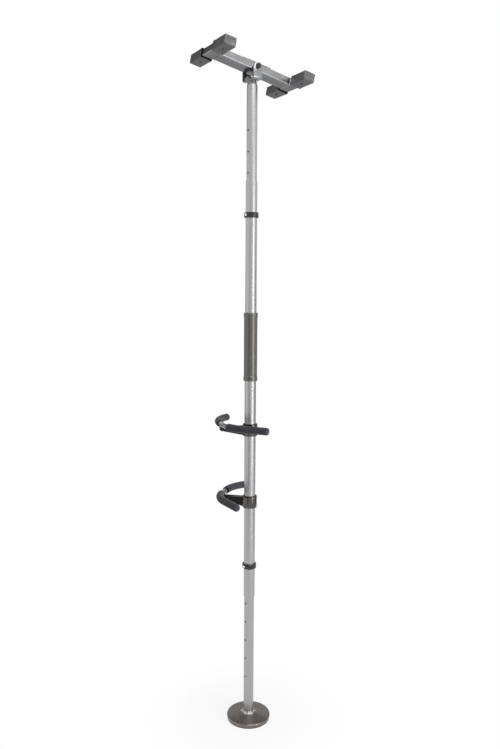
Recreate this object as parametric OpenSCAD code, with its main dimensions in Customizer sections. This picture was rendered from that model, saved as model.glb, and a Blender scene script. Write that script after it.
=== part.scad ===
// Floor-to-ceiling transfer pole with two swinging handles and a tilting ceiling frame.
// Lengths are in millimetres. The floor is at zero height and the pole stands along +Z.
// The frame and the handles are drawn turned and tilted as they stand at rest.

/* [Base] */
// Diameter of the floor dish
base_d = 166; // [140:1:200]
// Height of the dish's rim above the mat
rim_h = 12; // [9:0.5:16]
// Radius of the rounded top edge of the rim
rim_round = 4; // [3:0.5:6]
// Height of the flat land around the neck above the floor
land_h = 24; // [20:0.5:28]
// Width of the flat land that carries the screws
land_w = 9; // [8:0.5:12]
// Height of the flared neck above the land
neck_rise = 6; // [4:0.5:9]
// Sheet thickness of the dish
dish_t = 2; // [1.5:0.1:2.5]
// Width of the turned-in edge under the rim
lip_w = 12; // [8:0.5:18]
// Thickness of the rubber mat
mat_t = 3; // [2:0.5:5]
// Shank diameter of the dish screws
base_screw_d = 4; // [3:0.5:5]
// Number of dish screws
base_screw_count = 6; // [4:1:8]
// Compass angle of the first dish screw
base_screw_turn = 0; // [0:1:59]
// Diameter of the spigot that the pole turns on
spigot_d = 20; // [16:0.5:22]
// Height of the turning plug inside the foot of the pole
plug_h = 40; // [30:1:60]

/* [Tubes] */
// Outside diameter of the main tube
main_d = 42; // [38:0.5:46]
// Wall of the main tube
main_wall = 1.7; // [1.5:0.1:2.5]
// Wall of the two inner tubes
inner_wall = 2; // [1.5:0.1:2.5]
// Clearance between the main tube and an inner tube
slide_gap = 0.3; // [0.25:0.05:0.5]
// Height of the lower end of the main tube
main_bottom = 492; // [450:1:560]
// Length of the main tube
main_len = 1548; // [1500:1:1650]
// Length of the lower tube inside the main tube
lower_in = 330; // [290:5:380]
// Length of the upper tube inside the main tube
upper_in = 330; // [290:5:380]
// Length of the upper tube above the main tube
upper_out = 325; // [300:5:400]
// Distance between two locking holes
hole_pitch = 73.5; // [60:0.5:75]
// Diameter of a locking hole in an inner tube
hole_d = 6.6; // [6.4:0.1:7.5]
// Compass angle of the locking holes
hole_turn = 225.5; // [180:0.5:270]
// Locking holes of the lower tube below its lock
lower_holes_out = 6; // [4:1:6]
// Locking holes of the upper tube above its lock
upper_holes_out = 4; // [3:1:5]
// Locking holes of an inner tube behind its lock
holes_in = 2; // [1:1:2]
// Distance of a lock from the end of the main tube
lock_inset = 121; // [100:1:140]

/* [Locks] */
// Wall of a lock ring
ring_wall = 5.4; // [4.5:0.1:7]
// Height of a lock ring
ring_h = 19; // [16:0.5:24]
// Bevel of the edges of a lock ring
ring_edge = 1.6; // [1:0.1:2.2]
// Diameter of a lock pin
pin_d = 6; // [5:0.1:6.2]
// Diameter of the head of a lock pin
pin_head_d = 9; // [8:0.5:11]
// Thickness of the head of a lock pin
pin_head_t = 2; // [1.5:0.1:2.5]
// Travel of a lock pin from drawn to locked
pin_stroke = 3; // [2.8:0.1:4]

/* [Pole grip] */
// Height of the lower end of the pole grip
grip_bottom = 1320; // [1300:5:1360]
// Length of the pole grip
grip_len = 250; // [200:5:300]
// Thickness of the pole grip
grip_t = 3.5; // [2.5:0.1:5]
// Extra thickness of the beads at the two ends
bead_t = 1.3; // [0.8:0.1:2]
// Height of the beads
bead_h = 17; // [12:0.5:24]

/* [Handles] */
// Height of the middle of the lower handle's collar
lower_handle_z = 863; // [840:1:880]
// Compass angle of the lower handle's arm
lower_handle_turn = 160; // [130:1:190]
// Height of the middle of the upper handle's collar
upper_handle_z = 1137; // [1120:1:1150]
// Compass angle of the upper handle's arm
upper_handle_turn = 196; // [160:1:230]
// Wall of a collar
collar_wall = 3.7; // [3:0.1:5]
// Height of a collar
collar_h = 41.4; // [38:0.2:46]
// Wall of the liner between a collar and the pole
liner_wall = 2.2; // [1.8:0.1:3]
// Thickness of the liner's two flanges
flange_t = 1.5; // [1:0.1:2.5]
// Width of the slit in a liner
slit_w = 2; // [1.5:0.1:4]
// Diameter of a set screw
set_screw_d = 6; // [5:0.5:8]
// Width of an arm
arm_w = 24; // [20:0.5:28]
// Height of an arm at the collar
arm_root_h = 34; // [28:0.5:36]
// Height of an arm at its tip
arm_tip_h = 10; // [9:0.5:12]
// Distance of the top of an arm's root above the middle of the collar
arm_root_top = 15.5; // [13:0.5:18]
// Distance of the top of an arm's tip above the middle of the collar
arm_tip_top = 12; // [9:0.5:12.5]
// Distance of the bar from the pole
bar_out = 108; // [95:1:130]
// Height of the bar above the middle of the collar
bar_rise = 23; // [23:0.5:30]
// Diameter of the bar
bar_d = 19; // [16:0.5:21]
// Wall of the bar
bar_wall = 2; // [1.5:0.1:3]
// Radius of the bar's bends
bend_r = 138; // [110:1:140]
// Angle of the bar's bends
bend_angle = 50.5; // [40:0.5:52]
// Distance from the arm to the corner on the long side
long_corner = 70; // [69:1:90]
// Distance from the arm to the corner on the short side
short_corner = 105; // [102:1:130]
// Length of the bar past the corner on the long side
long_end = 158; // [130:1:200]
// Length of the bar past the corner on the short side
short_end = 75; // [73:1:120]
// Diameter of a foam grip
foam_d = 27; // [25:0.5:32]
// Foam past the end of the bar
foam_end = 5; // [3:0.5:10]
// Radius of the rounded edge of a foam grip's end
foam_round = 7; // [4:0.5:9]
// Foam of the short grip on the straight middle of the bar
short_foam_run = 13; // [5:1:25]
// Angle of the long bend that the lower handle's foam leaves bare
lower_bare_angle = 7.5; // [1:0.5:30]
// Angle of the long bend that the upper handle's foam leaves bare
upper_bare_angle = 22; // [1:0.5:30]
// Shank diameter of the screw in an arm's tip
tip_screw_d = 5; // [4:0.5:6]

/* [Ceiling jack] */
// Diameter of the jack spindle
spindle_d = 20; // [18:0.5:22]
// Travel of the jack
jack_stroke = 80; // [60:1:100]
// Height of the jack nut's tapered nose
nose_rise = 15; // [12:0.5:30]
// Diameter of the top of the nose
nose_top_d = 29; // [27:0.5:32]
// Length of the jack nut inside the upper tube
nut_len = 30; // [24:1:40]
// Diameter of the stop ring at the foot of the spindle
stop_d = 28; // [26:0.5:29]
// Diameter of the stud at the head of the spindle
stud_d = 16; // [14:0.5:16]
// Width across the flats of the stud nut
stud_nut_af = 24; // [21:0.5:25]
// Height of the stud nut
stud_nut_h = 6; // [5:0.5:8]

/* [Clevis] */
// Width of the clevis along the crossbar
clevis_w = 35; // [30:0.5:40]
// Plate thickness of the clevis
clevis_t = 5; // [4:0.5:6]
// Height of the pivot bolt above the underside of the clevis
pivot_rise = 42.5; // [38:0.5:48]
// Height of the cheeks above the pivot bolt
cheek_top = 12; // [11:0.5:16]
// Width of the bevel at the top corners of a cheek
cheek_bevel_w = 8; // [4:0.5:8]
// Height of the bevel at the top corners of a cheek
cheek_bevel_h = 18; // [8:0.5:24]
// Thickness of a pivot washer
pivot_washer_t = 4; // [3:0.5:6]
// Diameter of a pivot washer
pivot_washer_d = 22; // [20:0.5:24]
// Diameter of the pivot bolt
bolt_d = 10; // [8:0.5:10]

/* [Ceiling frame] */
// Compass angle of the crossbar at rest
frame_turn = 31.7; // [0:0.1:60]
// Tilt of the crossbar at rest
frame_tilt = 11.1; // [0:0.1:15]
// Width of the crossbar
crossbar_w = 60; // [50:1:70]
// Height of the crossbar
crossbar_h = 25; // [22:0.5:28]
// Wall of the frame's tubes
frame_wall = 2.5; // [2:0.1:3]
// Distance between the middles of the two cross tubes
tee_spacing = 325; // [280:1:380]
// Width of a cross tube
tee_w = 37.5; // [30:0.5:40]
// Height of a cross tube
tee_h = 25; // [22:0.5:36]
// Length of a cross tube
tee_len = 238; // [234:1:300]
// Wall of a ceiling pad
pad_wall = 3.5; // [3:0.1:5]
// Length of a ceiling pad
pad_len = 85; // [70:1:86]
// Thickness of the closed end of a ceiling pad
pad_end = 5; // [4:0.5:8]
// Radius of the long edges of a ceiling pad
pad_round = 3; // [2:0.5:6]
// Diameter of a pad screw
pad_screw_d = 4; // [3:0.5:5]
// Length of the saddle plate on the crossbar
saddle_len = 112; // [90:1:140]
// Thickness of the saddle plate
saddle_t = 3; // [2:0.1:4]

/* [Hidden] */
$fn = 96;
// Parts that the whole pole is drawn from.

// How far a cutting shape runs past what it cuts.
cut = 1;
// Clearance of a fixed fit.
snug = 0.1;
// Clearance of a turning or sliding fit on a pin or a bolt.
run_gap = 0.08;
// Clearance between turning or sliding sleeves.
free_gap = 0.3;
// Steps of a rounded profile.
round_steps = 8;
// Head sizes of a round-headed screw, as shares of its shank.
head_d_share = 1.65;
head_h_share = 0.6;
// Depth of a driver socket, as a share of its head.
socket_depth_share = 0.5;
socket_d_share = 0.5;
// Width over the corners of a hexagon, as a share of its width over the flats.
hex_share = 1.1547;
hex_sides = 6;

// Main sizes that follow from the ones above.
inner_d = main_d - 2 * main_wall - 2 * slide_gap;
inner_bore = inner_d - 2 * inner_wall;
main_top = main_bottom + main_len;
lower_lock_z = main_bottom + lock_inset;
upper_lock_z = main_top - lock_inset;
lower_top = main_bottom + lower_in;
upper_bottom = main_top - upper_in;
upper_top = main_top + upper_out;
glide_h = 8;
glide_plug_h = 24;

// Dish and foot.
base_r = base_d / 2;
neck_gap = 0.8;
neck_in = inner_d / 2 + neck_gap;
neck_out = neck_in + dish_t;
neck_fillet_share = 0.3;
neck_fillet = neck_rise * neck_fillet_share;
land_in = neck_out + neck_fillet;
land_out = land_in + land_w;
base_screw_r = land_in + land_w / 2;
base_screw_len = 14;
hub_top = land_h - dish_t;
hub_r = land_out - cut;
thrust_t = 2;
plug_flange_t = 3;
foot_z = hub_top + thrust_t + plug_flange_t;
spigot_top = foot_z + plug_h + free_gap;
retain_t = 2;
retain_d_share = 0.82;
foot_bolt_d = 8;
foot_bolt_len = 30;

// Locks.
ring_r = main_d / 2 + snug + ring_wall;
pin_hole_d = pin_d + 2 * run_gap;
pin_tip = inner_d / 2 + free_gap;
pin_seat = ring_r - pin_head_t;
pin_under = pin_seat + pin_stroke + snug;
pin_pocket_d = pin_head_d + 2 * free_gap;

// Handles.
liner_in = main_d / 2 + free_gap;
liner_out = liner_in + liner_wall;
collar_in = liner_out + free_gap;
collar_r = collar_in + collar_wall;
flange_r_share = 0.5;
flange_r = collar_in + collar_wall * flange_r_share;
set_screw_z_share = 0.25;
set_screw_z = collar_h * set_screw_z_share;
set_tip = liner_out + free_gap;
set_end = collar_r + cut;
boss_d = 17;
arm_tip_reach = 6.5;
bend_run = bend_r * tan(bend_angle / 2);
// A straight run of the bar is this much thinner in radius than the bend it enters.
bend_step = 0.03;
bar_r = bar_d / 2;
tip_screw_bite = 2;

// Jack and clevis.
nose_flat = 2;
nut_bottom = upper_top - nut_len;
nose_top = upper_top + nose_flat + nose_rise;
clevis_z = nose_top + free_gap;
web_top = clevis_z + clevis_t;
stop_t = 5;
spindle_bottom = nut_bottom - cut - jack_stroke - stop_t;
stop_pin_share = 0.8;
pivot_z = clevis_z + pivot_rise;
cheek_in = crossbar_w / 2 + pivot_washer_t + snug;
cheek_out = cheek_in + clevis_t;
bolt_hole_d = bolt_d + 2 * run_gap;
bolt_head_share = 0.64;
bolt_af_share = 1.7;
bolt_nut_share = 0.8;
bolt_af = bolt_d * bolt_af_share;
bolt_head_h = bolt_d * bolt_head_share;
bolt_nut_h = bolt_d * bolt_nut_share;
bolt_tail = 3;
sleeve_wall = 3;

// Ceiling frame.
crossbar_low = -crossbar_h / 2;
crossbar_len = tee_spacing - tee_w;
tee_mid = crossbar_low + tee_h / 2;
pad_mouth = tee_len / 2 + pad_end - pad_len;
pad_mid = tee_len / 2 + pad_end - pad_len / 2;
pad_screw_len = 9;

// Points on a quarter or other arc, for turned profiles.
function arc(centre, r, from, to) = [
  for (i = [0 : round_steps])
    centre + r * [cos(from + (to - from) * i / round_steps), sin(from + (to - from) * i / round_steps)]
];

// Round-headed screw with its shank down and its head above zero.
module round_screw(d, len) {
  head_d = d * head_d_share;
  head_h = d * head_h_share;
  difference() {
    union() {
      translate([0, 0, -len])
        cylinder(d = d, h = len);
      cylinder(d = head_d, h = head_h);
    }
    translate([0, 0, head_h * socket_depth_share])
      cylinder(d = d * socket_d_share * hex_share, h = head_h, $fn = hex_sides);
  }
}

// Hexagon prism by its width over the flats.
module hexagon(af, h) {
  cylinder(d = af * hex_share, h = h, $fn = hex_sides);
}

// Pipe along the pole.
module pipe(r_out, r_in, bottom, top) {
  rotate_extrude()
    translate([r_in, bottom])
      square([r_out - r_in, top - bottom]);
}

// Rod that points out from the pole at a height.
module out_rod(d, from, to, z, turn) {
  rotate([0, 0, turn])
    translate([from, 0, z])
      rotate([0, 90, 0])
        cylinder(d = d, h = to - from);
}

// Row of locking holes.
module lock_holes(z, first, last) {
  for (i = [first : last])
    out_rod(hole_d, 0, main_d, z + i * hole_pitch, hole_turn);
}

// Spun steel dish with a rounded rim, a shallow cone, a flat land and a flared neck.
module base_dish() {
  rim_top = mat_t + rim_h;
  rim_mid = [base_r - rim_round, rim_top - rim_round];
  inner_round = rim_round - dish_t;
  color([0.62, 0.6, 0.57])
    difference() {
      rotate_extrude()
        polygon(concat(
          [[base_r - lip_w, mat_t], [base_r, mat_t]],
          arc(rim_mid, rim_round, 0, 90),
          [[land_out, land_h]],
          arc([land_in, land_h + neck_fillet], neck_fillet, 270, 180),
          [
            [neck_out, land_h + neck_rise],
            [neck_in, land_h + neck_rise],
            [neck_in, hub_top],
            [land_out, hub_top]
          ],
          arc(rim_mid, inner_round, 90, 0),
          [[base_r - dish_t, mat_t + dish_t], [base_r - lip_w, mat_t + dish_t]]
        ));
      base_screw_places()
        translate([0, 0, hub_top - cut])
          cylinder(d = base_screw_d + 2 * snug, h = dish_t + 2 * cut);
    }
}

// Places of the dish screws.
module base_screw_places() {
  for (i = [0 : base_screw_count - 1])
    rotate([0, 0, base_screw_turn + i * 360 / base_screw_count])
      translate([base_screw_r, 0, 0])
        children();
}

// Solid steel hub under the dish with the spigot that the pole turns on.
module base_hub() {
  color([0.45, 0.45, 0.47])
    difference() {
      union() {
        translate([0, 0, mat_t])
          cylinder(r = hub_r, h = hub_top - mat_t);
        translate([0, 0, hub_top - cut])
          cylinder(d = spigot_d, h = spigot_top - hub_top + cut);
      }
      base_screw_places()
        translate([0, 0, hub_top - base_screw_len])
          cylinder(d = base_screw_d + 2 * snug, h = base_screw_len + cut);
      translate([0, 0, spigot_top - foot_bolt_len])
        cylinder(d = foot_bolt_d + 2 * snug, h = foot_bolt_len + cut);
    }
}

// Rubber mat under the whole base.
module base_mat() {
  color([0.12, 0.12, 0.12])
    cylinder(r = base_r - cut, h = mat_t);
}

// Round-headed screws that hold the dish to the hub.
module base_screws() {
  color([0.75, 0.75, 0.76])
    base_screw_places()
      translate([0, 0, land_h])
        round_screw(base_screw_d, base_screw_len - dish_t - snug);
}

// Bronze washer that the foot of the pole turns on.
module thrust_washer() {
  color([0.7, 0.55, 0.3])
    pipe(neck_in - free_gap, spigot_d / 2 + free_gap, hub_top, hub_top + thrust_t);
}

// Washer that keeps the pole on its spigot.
module retaining_washer() {
  color([0.6, 0.6, 0.62])
    pipe(inner_bore * retain_d_share / 2, foot_bolt_d / 2 + snug, spigot_top, spigot_top + retain_t);
}

// Bolt down the spigot that holds the retaining washer.
module foot_bolt() {
  color([0.35, 0.35, 0.37])
    translate([0, 0, spigot_top + retain_t])
      round_screw(foot_bolt_d, foot_bolt_len - cut);
}

// Nylon plug in the foot of the lower tube, bored for the spigot.
module foot_plug() {
  color([0.85, 0.84, 0.8])
    difference() {
      union() {
        translate([0, 0, foot_z - plug_flange_t])
          cylinder(d = inner_d, h = plug_flange_t);
        translate([0, 0, foot_z - plug_flange_t])
          cylinder(d = inner_bore - 2 * snug, h = plug_h + plug_flange_t);
      }
      translate([0, 0, foot_z - plug_flange_t - cut])
        cylinder(d = spigot_d + 2 * run_gap, h = plug_h + plug_flange_t + 2 * cut);
    }
}

// Inner tube that stands in the base.
module lower_tube() {
  color([0.75, 0.75, 0.76])
    difference() {
      pipe(inner_d / 2, inner_bore / 2, foot_z, lower_top);
      lock_holes(lower_lock_z, -lower_holes_out, holes_in);
    }
}

// Nylon glide on the hidden end of an inner tube, with its rim above zero.
module glide() {
  difference() {
    union() {
      cylinder(d = main_d - 2 * main_wall - 2 * run_gap, h = glide_h);
      translate([0, 0, -glide_plug_h])
        cylinder(d = inner_bore - 2 * snug, h = glide_plug_h + cut);
    }
    translate([0, 0, -glide_plug_h - cut])
      cylinder(d = inner_bore - 2 * glide_h, h = glide_plug_h + glide_h + 2 * cut);
  }
}

// Glide on top of the lower tube.
module lower_glide() {
  color([0.2, 0.2, 0.21])
    translate([0, 0, lower_top])
      glide();
}

// Long outer tube that carries the grip, the handles and the locks.
module main_tube() {
  color([0.75, 0.75, 0.76])
    difference() {
      pipe(main_d / 2, main_d / 2 - main_wall, main_bottom, main_top);
      out_rod(pin_hole_d, 0, main_d, lower_lock_z, hole_turn);
      out_rod(pin_hole_d, 0, main_d, upper_lock_z, hole_turn);
    }
}

// Rubber sleeve around the main tube with a bead at each end.
module pole_grip() {
  in_r = main_d / 2 + snug;
  mid_r = in_r + grip_t;
  bead_r = mid_r + bead_t;
  top = grip_bottom + grip_len;
  color([0.33, 0.32, 0.3])
    rotate_extrude()
      polygon([
        [in_r, grip_bottom],
        [mid_r, grip_bottom],
        [bead_r, grip_bottom + bead_t],
        [bead_r, grip_bottom + bead_h - bead_t],
        [mid_r, grip_bottom + bead_h],
        [mid_r, top - bead_h],
        [bead_r, top - bead_h + bead_t],
        [bead_r, top - bead_t],
        [mid_r, top],
        [in_r, top]
      ]);
}

// Lock ring at a height, with a guide hole and a pocket for its pin.
module lock_ring(z) {
  low = z - ring_h / 2;
  high = z + ring_h / 2;
  in_r = main_d / 2 + snug;
  difference() {
    rotate_extrude()
      polygon([
        [in_r, low],
        [ring_r - ring_edge, low],
        [ring_r, low + ring_edge],
        [ring_r, high - ring_edge],
        [ring_r - ring_edge, high],
        [in_r, high]
      ]);
    out_rod(pin_hole_d, 0, main_d, z, hole_turn);
    out_rod(pin_pocket_d, pin_seat, main_d, z, hole_turn);
  }
}

// Lock pin at a height, drawn back so that its tip just clears the inner tube.
module lock_pin(z) {
  out_rod(pin_d, pin_tip, pin_under, z, hole_turn);
  out_rod(pin_head_d, pin_under, pin_under + pin_head_t, z, hole_turn);
}

// Ring near the lower end of the main tube.
module lower_lock_ring() {
  color([0.08, 0.08, 0.09])
    lock_ring(lower_lock_z);
}

// Ring near the upper end of the main tube.
module upper_lock_ring() {
  color([0.08, 0.08, 0.09])
    lock_ring(upper_lock_z);
}

// Steel pin of the lower lock.
module lower_lock_pin() {
  color([0.85, 0.85, 0.87])
    lock_pin(lower_lock_z);
}

// Steel pin of the upper lock.
module upper_lock_pin() {
  color([0.85, 0.85, 0.87])
    lock_pin(upper_lock_z);
}

// Inner tube that carries the ceiling jack.
module upper_tube() {
  color([0.78, 0.78, 0.79])
    difference() {
      pipe(inner_d / 2, inner_bore / 2, upper_bottom, upper_top);
      lock_holes(upper_lock_z, -holes_in, upper_holes_out);
    }
}

// Glide under the upper tube.
module upper_glide() {
  color([0.2, 0.2, 0.21])
    translate([0, 0, upper_bottom])
      mirror([0, 0, 1])
        glide();
}

// Turned nut in the top of the upper tube, with a tapered nose.
module jack_nut() {
  bore_r = spindle_d / 2 + run_gap;
  color([0.76, 0.76, 0.77])
    rotate_extrude()
      polygon([
        [bore_r, nut_bottom],
        [inner_bore / 2 - snug, nut_bottom],
        [inner_bore / 2 - snug, upper_top],
        [inner_d / 2, upper_top],
        [inner_d / 2, upper_top + nose_flat],
        [nose_top_d / 2, nose_top],
        [bore_r, nose_top]
      ]);
}

// Jack spindle with a stud at its head and a thinner seat for the stop ring at its foot.
module jack_spindle() {
  color([0.7, 0.7, 0.72])
    union() {
      translate([0, 0, spindle_bottom + stop_t])
        cylinder(d = spindle_d, h = clevis_z - spindle_bottom - stop_t);
      translate([0, 0, spindle_bottom])
        cylinder(d = spindle_d * stop_pin_share, h = stop_t + cut);
      translate([0, 0, clevis_z - cut])
        cylinder(d = stud_d, h = clevis_t + stud_nut_h + cut);
    }
}

// Ring that stops the spindle from leaving the nut.
module spindle_stop() {
  color([0.5, 0.5, 0.52])
    pipe(stop_d / 2, spindle_d * stop_pin_share / 2 + snug, spindle_bottom, spindle_bottom + stop_t - snug);
}

// Turns to the heading of the ceiling frame.
module at_clevis() {
  rotate([0, 0, frame_turn])
    children();
}

// Turns to the heading and tilt of the ceiling frame, about the pivot bolt.
module at_frame() {
  translate([0, 0, pivot_z])
    rotate([0, 0, frame_turn])
      rotate([0, frame_tilt, 0])
        children();
}

// Rod along the pivot bolt.
module pivot_rod(d, from, to) {
  translate([0, to, 0])
    rotate([90, 0, 0])
      cylinder(d = d, h = to - from);
}

// Folded steel clevis on the spindle's stud.
module clevis() {
  half_w = clevis_w / 2;
  high = pivot_z + cheek_top;
  color([0.6, 0.6, 0.62])
    at_clevis()
      difference() {
        union() {
          translate([-half_w, -cheek_out, clevis_z])
            cube([clevis_w, 2 * cheek_out, clevis_t]);
          for (side = [-1, 1])
            translate([0, side * (cheek_in + clevis_t / 2), 0])
              rotate([90, 0, 0])
                linear_extrude(height = clevis_t, center = true)
                  polygon([
                    [-half_w, clevis_z],
                    [half_w, clevis_z],
                    [half_w, high - cheek_bevel_h],
                    [half_w - cheek_bevel_w, high],
                    [cheek_bevel_w - half_w, high],
                    [-half_w, high - cheek_bevel_h]
                  ]);
        }
        translate([0, 0, clevis_z - cut])
          cylinder(d = stud_d + 2 * run_gap, h = clevis_t + 2 * cut);
        translate([0, 0, pivot_z])
          pivot_rod(bolt_hole_d, -cheek_out - cut, cheek_out + cut);
      }
}

// Nut on the spindle's stud.
module stud_nut() {
  color([0.35, 0.35, 0.37])
    at_clevis()
      translate([0, 0, web_top])
        difference() {
          hexagon(stud_nut_af, stud_nut_h);
          translate([0, 0, -cut])
            cylinder(d = stud_d + 2 * run_gap, h = stud_nut_h + 2 * cut);
        }
}

// Hexagon bolt through the clevis and the crossbar.
module pivot_bolt() {
  color([0.18, 0.18, 0.19])
    at_clevis()
      translate([0, 0, pivot_z]) {
        pivot_rod(bolt_d, -cheek_out - cut, cheek_out + bolt_nut_h + bolt_tail);
        translate([0, -cheek_out, 0])
          rotate([90, 0, 0])
            hexagon(bolt_af, bolt_head_h);
      }
}

// Locking nut on the pivot bolt.
module pivot_nut() {
  color([0.3, 0.3, 0.32])
    at_clevis()
      translate([0, cheek_out, pivot_z])
        rotate([-90, 0, 0])
          difference() {
            hexagon(bolt_af, bolt_nut_h);
            translate([0, 0, -cut])
              cylinder(d = bolt_hole_d, h = bolt_nut_h + 2 * cut);
          }
}

// Friction washers between the cheeks and the crossbar.
module pivot_washers() {
  color([0.15, 0.15, 0.16])
    at_clevis()
      translate([0, 0, pivot_z])
        for (side = [-1, 1])
          translate([0, side * (cheek_in - pivot_washer_t / 2), 0])
            difference() {
              pivot_rod(pivot_washer_d, -pivot_washer_t / 2, pivot_washer_t / 2);
              pivot_rod(bolt_hole_d, -pivot_washer_t, pivot_washer_t);
            }
}

// Rectangular tube across the top of the clevis.
module crossbar() {
  bore_w = crossbar_w - 2 * frame_wall;
  bore_h = crossbar_h - 2 * frame_wall;
  color([0.5, 0.51, 0.51])
    at_frame()
      difference() {
        cube([crossbar_len, crossbar_w, crossbar_h], center = true);
        cube([crossbar_len + 2 * cut, bore_w, bore_h], center = true);
        pivot_rod(bolt_hole_d, -crossbar_w, crossbar_w);
      }
}

// Spacer inside the crossbar that the pivot bolt passes through.
module pivot_sleeve() {
  half = crossbar_w / 2 - frame_wall;
  color([0.6, 0.6, 0.62])
    at_frame()
      difference() {
        pivot_rod(bolt_hole_d + 2 * sleeve_wall, -half, half);
        pivot_rod(bolt_hole_d, -crossbar_w, crossbar_w);
      }
}

// Doubling plate on top of the crossbar.
module saddle_plate() {
  color([0.5, 0.51, 0.51])
    at_frame()
      translate([0, 0, crossbar_h / 2 + saddle_t / 2])
        cube([saddle_len, crossbar_w, saddle_t], center = true);
}

// Cross tube on one side of the frame.
module cross_tube(side) {
  at_frame()
    translate([side * tee_spacing / 2, 0, tee_mid])
      difference() {
        cube([tee_w, tee_len, tee_h], center = true);
        cube([tee_w - 2 * frame_wall, tee_len + 2 * cut, tee_h - 2 * frame_wall], center = true);
        for (end = [-1, 1])
          translate([0, end * pad_mid, -tee_h])
            cylinder(d = pad_screw_d + 2 * snug, h = tee_h);
      }
}

// Cross tube at the raised end of the crossbar.
module left_cross_tube() {
  color([0.5, 0.51, 0.51])
    cross_tube(-1);
}

// Cross tube at the lowered end of the crossbar.
module right_cross_tube() {
  color([0.5, 0.51, 0.51])
    cross_tube(1);
}

// Rectangle with rounded corners, about its middle.
module rounded_rect(w, h, r) {
  square([w - 2 * r, h], center = true);
  square([w, h - 2 * r], center = true);
  for (x = [-1, 1])
    for (y = [-1, 1])
      translate([x * (w / 2 - r), y * (h / 2 - r)])
        circle(r = r);
}

// Rubber pad pushed over one end of a cross tube.
module ceiling_pad(side, end) {
  at_frame()
    translate([side * tee_spacing / 2, 0, tee_mid])
      rotate([0, 0, end > 0 ? 0 : 180])
        difference() {
          translate([0, pad_mouth + pad_len, 0])
            rotate([90, 0, 0])
              linear_extrude(height = pad_len)
                rounded_rect(tee_w + 2 * pad_wall, tee_h + 2 * pad_wall, pad_round);
          translate([0, tee_len / 2 - pad_len / 2, 0])
            cube([tee_w + 2 * snug, pad_len + 2 * snug, tee_h + 2 * snug], center = true);
          translate([0, pad_mid, -tee_h])
            cylinder(d = pad_screw_d + 2 * snug, h = tee_h);
        }
}

// Pad on the left cross tube, at the end nearer the front.
module left_near_pad() {
  color([0.22, 0.22, 0.24])
    ceiling_pad(-1, -1);
}

// Pad on the left cross tube, at the end further from the front.
module left_far_pad() {
  color([0.22, 0.22, 0.24])
    ceiling_pad(-1, 1);
}

// Pad on the right cross tube, at the end nearer the front.
module right_near_pad() {
  color([0.22, 0.22, 0.24])
    ceiling_pad(1, -1);
}

// Pad on the right cross tube, at the end further from the front.
module right_far_pad() {
  color([0.22, 0.22, 0.24])
    ceiling_pad(1, 1);
}

// One screw up through each pad into its cross tube.
module pad_screws() {
  color([0.1, 0.1, 0.11])
    at_frame()
      for (side = [-1, 1])
        for (end = [-1, 1])
          translate([side * tee_spacing / 2, end * pad_mid, tee_mid - tee_h / 2 - pad_wall])
            rotate([180, 0, 0])
              round_screw(pad_screw_d, pad_screw_len);
}

// Places a handle's piece at its height and compass angle.
module at_handle(z, turn) {
  translate([0, 0, z])
    rotate([0, 0, turn])
      children();
}

// Slit nylon liner between a collar and the pole, with a flange above and below.
module liner() {
  half = collar_h / 2 + free_gap;
  difference() {
    union() {
      pipe(liner_out, liner_in, -half - flange_t, half + flange_t);
      pipe(flange_r, liner_in, half, half + flange_t);
      pipe(flange_r, liner_in, -half - flange_t, -half);
    }
    translate([-slit_w / 2, 0, -half - flange_t - cut])
      cube([slit_w, collar_r, 2 * (half + flange_t + cut)]);
  }
}

// Collar that turns on the liner, tapped for two set screws behind the arm.
module collar() {
  difference() {
    pipe(collar_r, collar_in, -collar_h / 2, collar_h / 2);
    for (z = [-set_screw_z, set_screw_z])
      out_rod(set_screw_d + 2 * snug, 0, collar_r + cut, z, 180);
  }
}

// Tapered arm from the collar to a saddle under the bar.
module arm() {
  tip = bar_out + arm_tip_reach;
  difference() {
    union() {
      rotate([90, 0, 0])
        linear_extrude(height = arm_w, center = true)
          polygon([
            [0, arm_root_top - arm_root_h],
            [collar_r, arm_root_top - arm_root_h],
            [tip, arm_tip_top - arm_tip_h],
            [tip, arm_tip_top],
            [collar_r, arm_root_top],
            [0, arm_root_top]
          ]);
      translate([bar_out, 0, arm_tip_top - cut])
        cylinder(d = boss_d, h = bar_rise - arm_tip_top + cut);
    }
    translate([0, 0, -collar_h])
      cylinder(r = collar_r + snug, h = 2 * collar_h);
    translate([bar_out, 0, bar_rise])
      pivot_rod(bar_d + 2 * snug, -arm_w, arm_w);
    translate([bar_out, 0, arm_tip_top - 2 * arm_tip_h]) {
      cylinder(d = tip_screw_d + 2 * snug, h = 3 * arm_tip_h);
      cylinder(d = tip_screw_d * head_d_share + 2 * free_gap, h = arm_tip_h);
    }
  }
}

// Bend and straight end of one half of the bar, towards +Y, less an angle at the bend's start.
module bend_and_end(r, corner, end, bare) {
  translate([bar_out - bend_r, corner - bend_run, bar_rise]) {
    rotate([0, 0, bare])
      rotate_extrude(angle = bend_angle - bare)
        translate([bend_r, 0])
          circle(r = r);
    rotate([0, 0, bend_angle])
      translate([bend_r, 0, 0])
        pivot_rod(2 * (r - bend_step), -cut, end - bend_run);
  }
}

// Straight middle run of the bar, from one place along it to another.
module bar_middle(r, from, to) {
  translate([bar_out, 0, bar_rise])
    pivot_rod(2 * (r - bend_step), from, to);
}

// Whole bent bar of a radius, each end longer by an extra length.
module bar_solid(r, extra) {
  bar_middle(r, bend_run - short_corner - cut, long_corner - bend_run + cut);
  bend_and_end(r, long_corner, long_end + extra, 0);
  mirror([0, 1, 0])
    bend_and_end(r, short_corner, short_end + extra, 0);
}

// Bent bar with a bore right through it and a hole for the tip screw.
module bar() {
  difference() {
    bar_solid(bar_r, 0);
    bar_solid(bar_r - bar_wall, cut);
    translate([bar_out, 0, 0])
      cylinder(d = tip_screw_d + 2 * snug, h = bar_rise);
  }
}

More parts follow.
